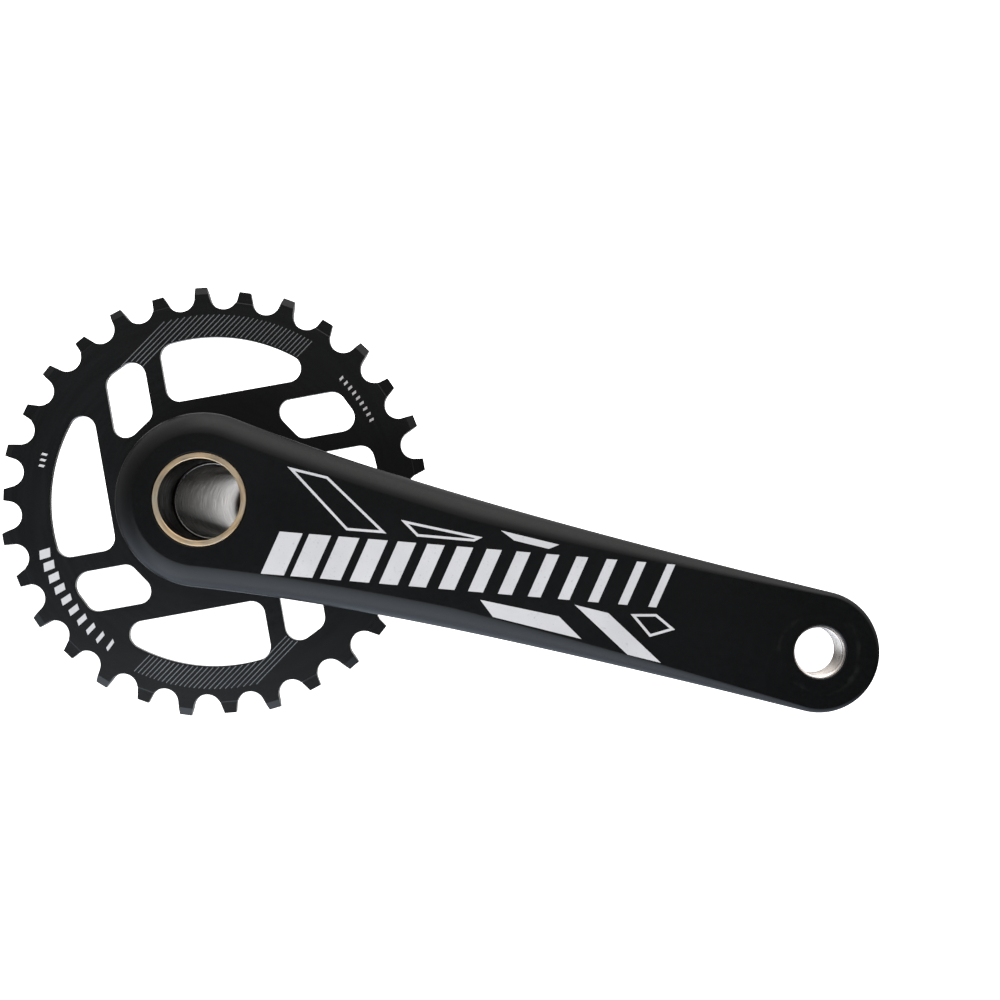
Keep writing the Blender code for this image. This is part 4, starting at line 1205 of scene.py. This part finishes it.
def frame_lines(outline, width):
    """The thin sides of a convex frame with mitred corners, as outlines of their own."""
    inner = []
    for i, point in enumerate(outline):
        corner = Vector(point)
        arriving = (corner - Vector(outline[i - 1])).normalized()
        leaving = (Vector(outline[(i + 1) % len(outline)]) - corner).normalized()
        turn = abs(arriving.cross(leaving))
        inner.append(tuple(corner + (leaving - arriving) * width / turn))
    return [
        [outline[i - 1], outline[i], inner[i], inner[i - 1]]
        for i in range(len(outline))
    ]


def arm_marks():
    """Generic sport stripes on the arm's face: fading bars, thin frames and broad slashes."""
    bars = []
    for number in range(BAR_COUNT):
        width = between(WIDEST_BAR, NARROWEST_BAR, number / (BAR_COUNT - 1))
        bars.append(leaning((number * BAR_SPACING, 0), width, BAR_HEIGHT, BAR_LEAN))
    outlines = [shifted(rotated(bar, BAR_LINE_SLOPE), BAR_START) for bar in bars]
    marks("face_bars", outlines, face_height, FACE_INK, MARK_SLICE)
    frames = [
        in_mm((21.5, 14.6), (41.6, 1.4), (52.6, 3.2), (33.0, 14.6)),
        in_mm((55.5, 7.8), (61.0, 4.4), (76.6, 6.8), (78.6, 8.5)),
        in_mm((122.6, -2.2), (129.1, -7.0), (135.3, -3.4), (129.4, -0.5)),
    ]
    thin = [side for frame_outline in frames for side in frame_lines(frame_outline, STRIPE_WIDTH)]
    marks("face_pinstripes", thin, face_height, FACE_INK, MARK_SLICE)
    slashes = [
        in_mm((87.2, 9.7), (96.9, 9.7), (99.4, 11.5), (83.0, 11.5)),
        in_mm((82.0, -8.3), (86.5, -12.0), (111.3, -12.0), (103.9, -7.5)),
        in_mm((107.3, -3.4), (124.4, -13.1), (133.7, -13.1), (116.7, -3.4)),
    ]
    marks("face_slashes", slashes, face_height, FACE_INK, MARK_SLICE)


def is_inside(outline, x, y):
    """Whether a place lies inside an outline: a line from it crosses the outline an odd number of times."""
    crossed = False
    for (ax, ay), (bx, by) in zip(outline, outline[1:] + outline[:1]):
        if (ay > y) != (by > y) and x < ax + (bx - ax) * (y - ay) / (by - ay):
            crossed = not crossed
    return crossed


def etched_line(offset, side, normal, holes):
    """One line from the outer circle inwards to the first hole or to the inner circle."""
    outer = math.sqrt(ETCH_OUTER_RADIUS ** 2 - offset ** 2)
    along = outer
    while True:
        x, y = rotated([(offset, side * (along - ETCH_MARGIN))], normal)[0]
        radius = math.hypot(x, y)
        if radius < ETCH_INNER_RADIUS:
            break
        if radius < RIM_INNER_RADIUS and any(is_inside(hole, x, y) for hole in holes):
            break
        along -= ETCH_STEP
    low, high = sorted((side * along, side * outer))
    return rotated(leaning((offset - ETCH_WIDTH / 2, low), ETCH_WIDTH, high - low, 0), normal)


def ring_marks():
    """Bands of etched lines on the chainring's face, and short generic ticks."""
    normal = ETCH_DIRECTION - math.pi / 2
    holes = ring_holes()
    lines = []
    for first, last in ETCH_BANDS:
        side = 1 if first < 0 else -1
        for number in range(int((last - first) / ETCH_SPACING) + 1):
            lines.append(etched_line(first + number * ETCH_SPACING, side, normal, holes))
    marks("ring_etched_lines", lines, lambda x: RING_OUTBOARD, ETCHED_LINE)
    ticks = []
    for first, count, step, length in TICK_ROWS:
        tick = leaning((TICK_RADIUS, 0), length, TICK_WIDTH, TICK_LEAN)
        for number in range(count):
            ticks.append(rotated(tick, math.radians(first + number * step)))
    for number in range(FADING_TICK_COUNT):
        width = WIDEST_TICK - number * TICK_FADE
        tick = leaning((FADING_TICK_RADIUS, -width / 2), FADING_TICK_LENGTH, width, FADING_TICK_LEAN)
        ticks.append(rotated(tick, FADING_TICK_START + number * FADING_TICK_STEP))
    marks("ring_ticks", ticks, lambda x: RING_OUTBOARD, FACE_INK)


# ---- stage

CAMERA_PLACE = (0.07696, -0.46562, 0.01009)
CAMERA_TURN = (91.4534, -13.754, -0.9149)  # degrees
CAMERA_LENS = 50.4
FLOOR_HEIGHT = -0.26
FLOOR_REACH = 3
FLOOR_GLOW = 0.8
LIGHT_IN_FRONT = 0.10  # strengths of the soft light, by direction
LIGHT_IN_FRONT_AT_RIGHT = 0.03
LIGHT_AT_LEFT = 0.35
LIGHT_ABOVE = 1.3
LIGHT_BELOW = 2.0
LIGHT_BEHIND = 1.25


def add_camera():
    camera = bpy.data.cameras.new("camera")
    camera.lens = CAMERA_LENS
    camera.sensor_width = 36
    camera.clip_start = 0.01
    holder = bpy.data.objects.new("camera", camera)
    holder.location = CAMERA_PLACE
    holder.rotation_euler = [math.radians(angle) for angle in CAMERA_TURN]
    bpy.context.scene.collection.objects.link(holder)
    bpy.context.scene.camera = holder


def add_light(name, place_at, target, size, power, colour):
    lamp = bpy.data.lights.new(name, "AREA")
    lamp.shape = "RECTANGLE"
    lamp.size, lamp.size_y = size
    lamp.energy = power
    lamp.color = colour
    holder = bpy.data.objects.new(name, lamp)
    holder.location = place_at
    holder.rotation_euler = (Vector(target) - Vector(place_at)).to_track_quat("-Z", "Y").to_euler()
    holder.visible_camera = False
    bpy.context.scene.collection.objects.link(holder)


def add_floor():
    mesh = bpy.data.meshes.new("floor")
    work = bmesh.new()
    bmesh.ops.create_grid(work, x_segments=8, y_segments=8, size=FLOOR_REACH)
    bmesh.ops.translate(work, verts=work.verts, vec=(0, 0, FLOOR_HEIGHT))
    work.to_mesh(mesh)
    work.free()
    floor = bpy.data.objects.new("floor", mesh)
    bpy.context.scene.collection.objects.link(floor)
    paper = material(
        "paper_sweep",
        lambda t: mottled(t, grey(0.86), grey(0.90), 6),
        lambda t: uneven(t, 0.8, 0.95, 40),
    )
    shader = paper.node_tree.nodes["Principled BSDF"]
    shader.inputs["Emission Color"].default_value = (1, 1, 1, 1)
    shader.inputs["Emission Strength"].default_value = FLOOR_GLOW
    mesh.materials.append(paper)
    floor.visible_diffuse = False
    floor.visible_glossy = False
    floor.visible_shadow = False


def add_world():
    """A pale studio: white as the camera sees it, and soft light by direction for the object."""
    world = bpy.data.worlds.new("studio")
    world.use_nodes = True
    tree = world.node_tree
    direction = set_up("ShaderNodeTexCoord", tree).outputs["Generated"]
    parts = set_up("ShaderNodeSeparateXYZ", tree, {"Vector": direction}).outputs
    above = ranged(tree, parts["Z"], 0.0, LIGHT_ABOVE, 0.0, 0.85)
    below = ranged(tree, parts["Z"], LIGHT_BELOW, 0.0, -0.9, -0.3)
    behind = ranged(tree, parts["Y"], 0.0, LIGHT_BEHIND, 0.85, 0.97)
    at_left = ranged(tree, parts["X"], LIGHT_AT_LEFT, 0.0, -0.95, -0.5)
    round_about = above
    for light in (below, behind, at_left):
        round_about = maths(tree, "MAXIMUM", round_about, light)
    in_front = ranged(tree, parts["X"], LIGHT_IN_FRONT, LIGHT_IN_FRONT_AT_RIGHT, -0.1, 0.2)
    room = maths(tree, "ADD", round_about, in_front)
    seen = set_up("ShaderNodeLightPath", tree).outputs["Is Camera Ray"]
    strength = maths(tree, "ADD", room, seen)
    background = tree.nodes["Background"]
    cool = ranged(tree, parts["Z"], 1.0, 0.0, -0.7, -0.1)
    tree.links.new(blended(tree, cool, (1, 1, 1, 1), (0.84, 0.95, 1.12, 1)), background.inputs["Color"])
    tree.links.new(strength, background.inputs["Strength"])
    bpy.context.scene.world = world
    bpy.context.scene.view_settings.view_transform = "Standard"


chainring()
chainring_bolts()
drive_arm()
pedal_thread()
spindle()
for bracket_side in (SIDE_DRIVE, SIDE_LEFT):
    cup(bracket_side)
    dust_shield(bracket_side)
bracket_tube("sleeve_tube", "centre_sleeve", SLEEVE_INNER_RADIUS, 0.3 * MM, BLACK_PLASTIC)
bracket_tube("spacer_ring", "shell_spacer", THREAD_RADIUS + GAP, 0.35 * MM, CUP_BLACK)
carried_over()
arm_marks()
ring_marks()
add_camera()
add_floor()
add_world()
add_light("overhead_softbox", (0.05, -0.25, 0.7), (0.07, -0.07, 0.0), (0.9, 0.5), 2.2, (1, 0.98, 0.96))
add_light("low_fill", (0.0, -0.25, -0.24), (0.04, -0.08, 0.0), (0.45, 0.4), 1.2, (0.86, 0.93, 1))
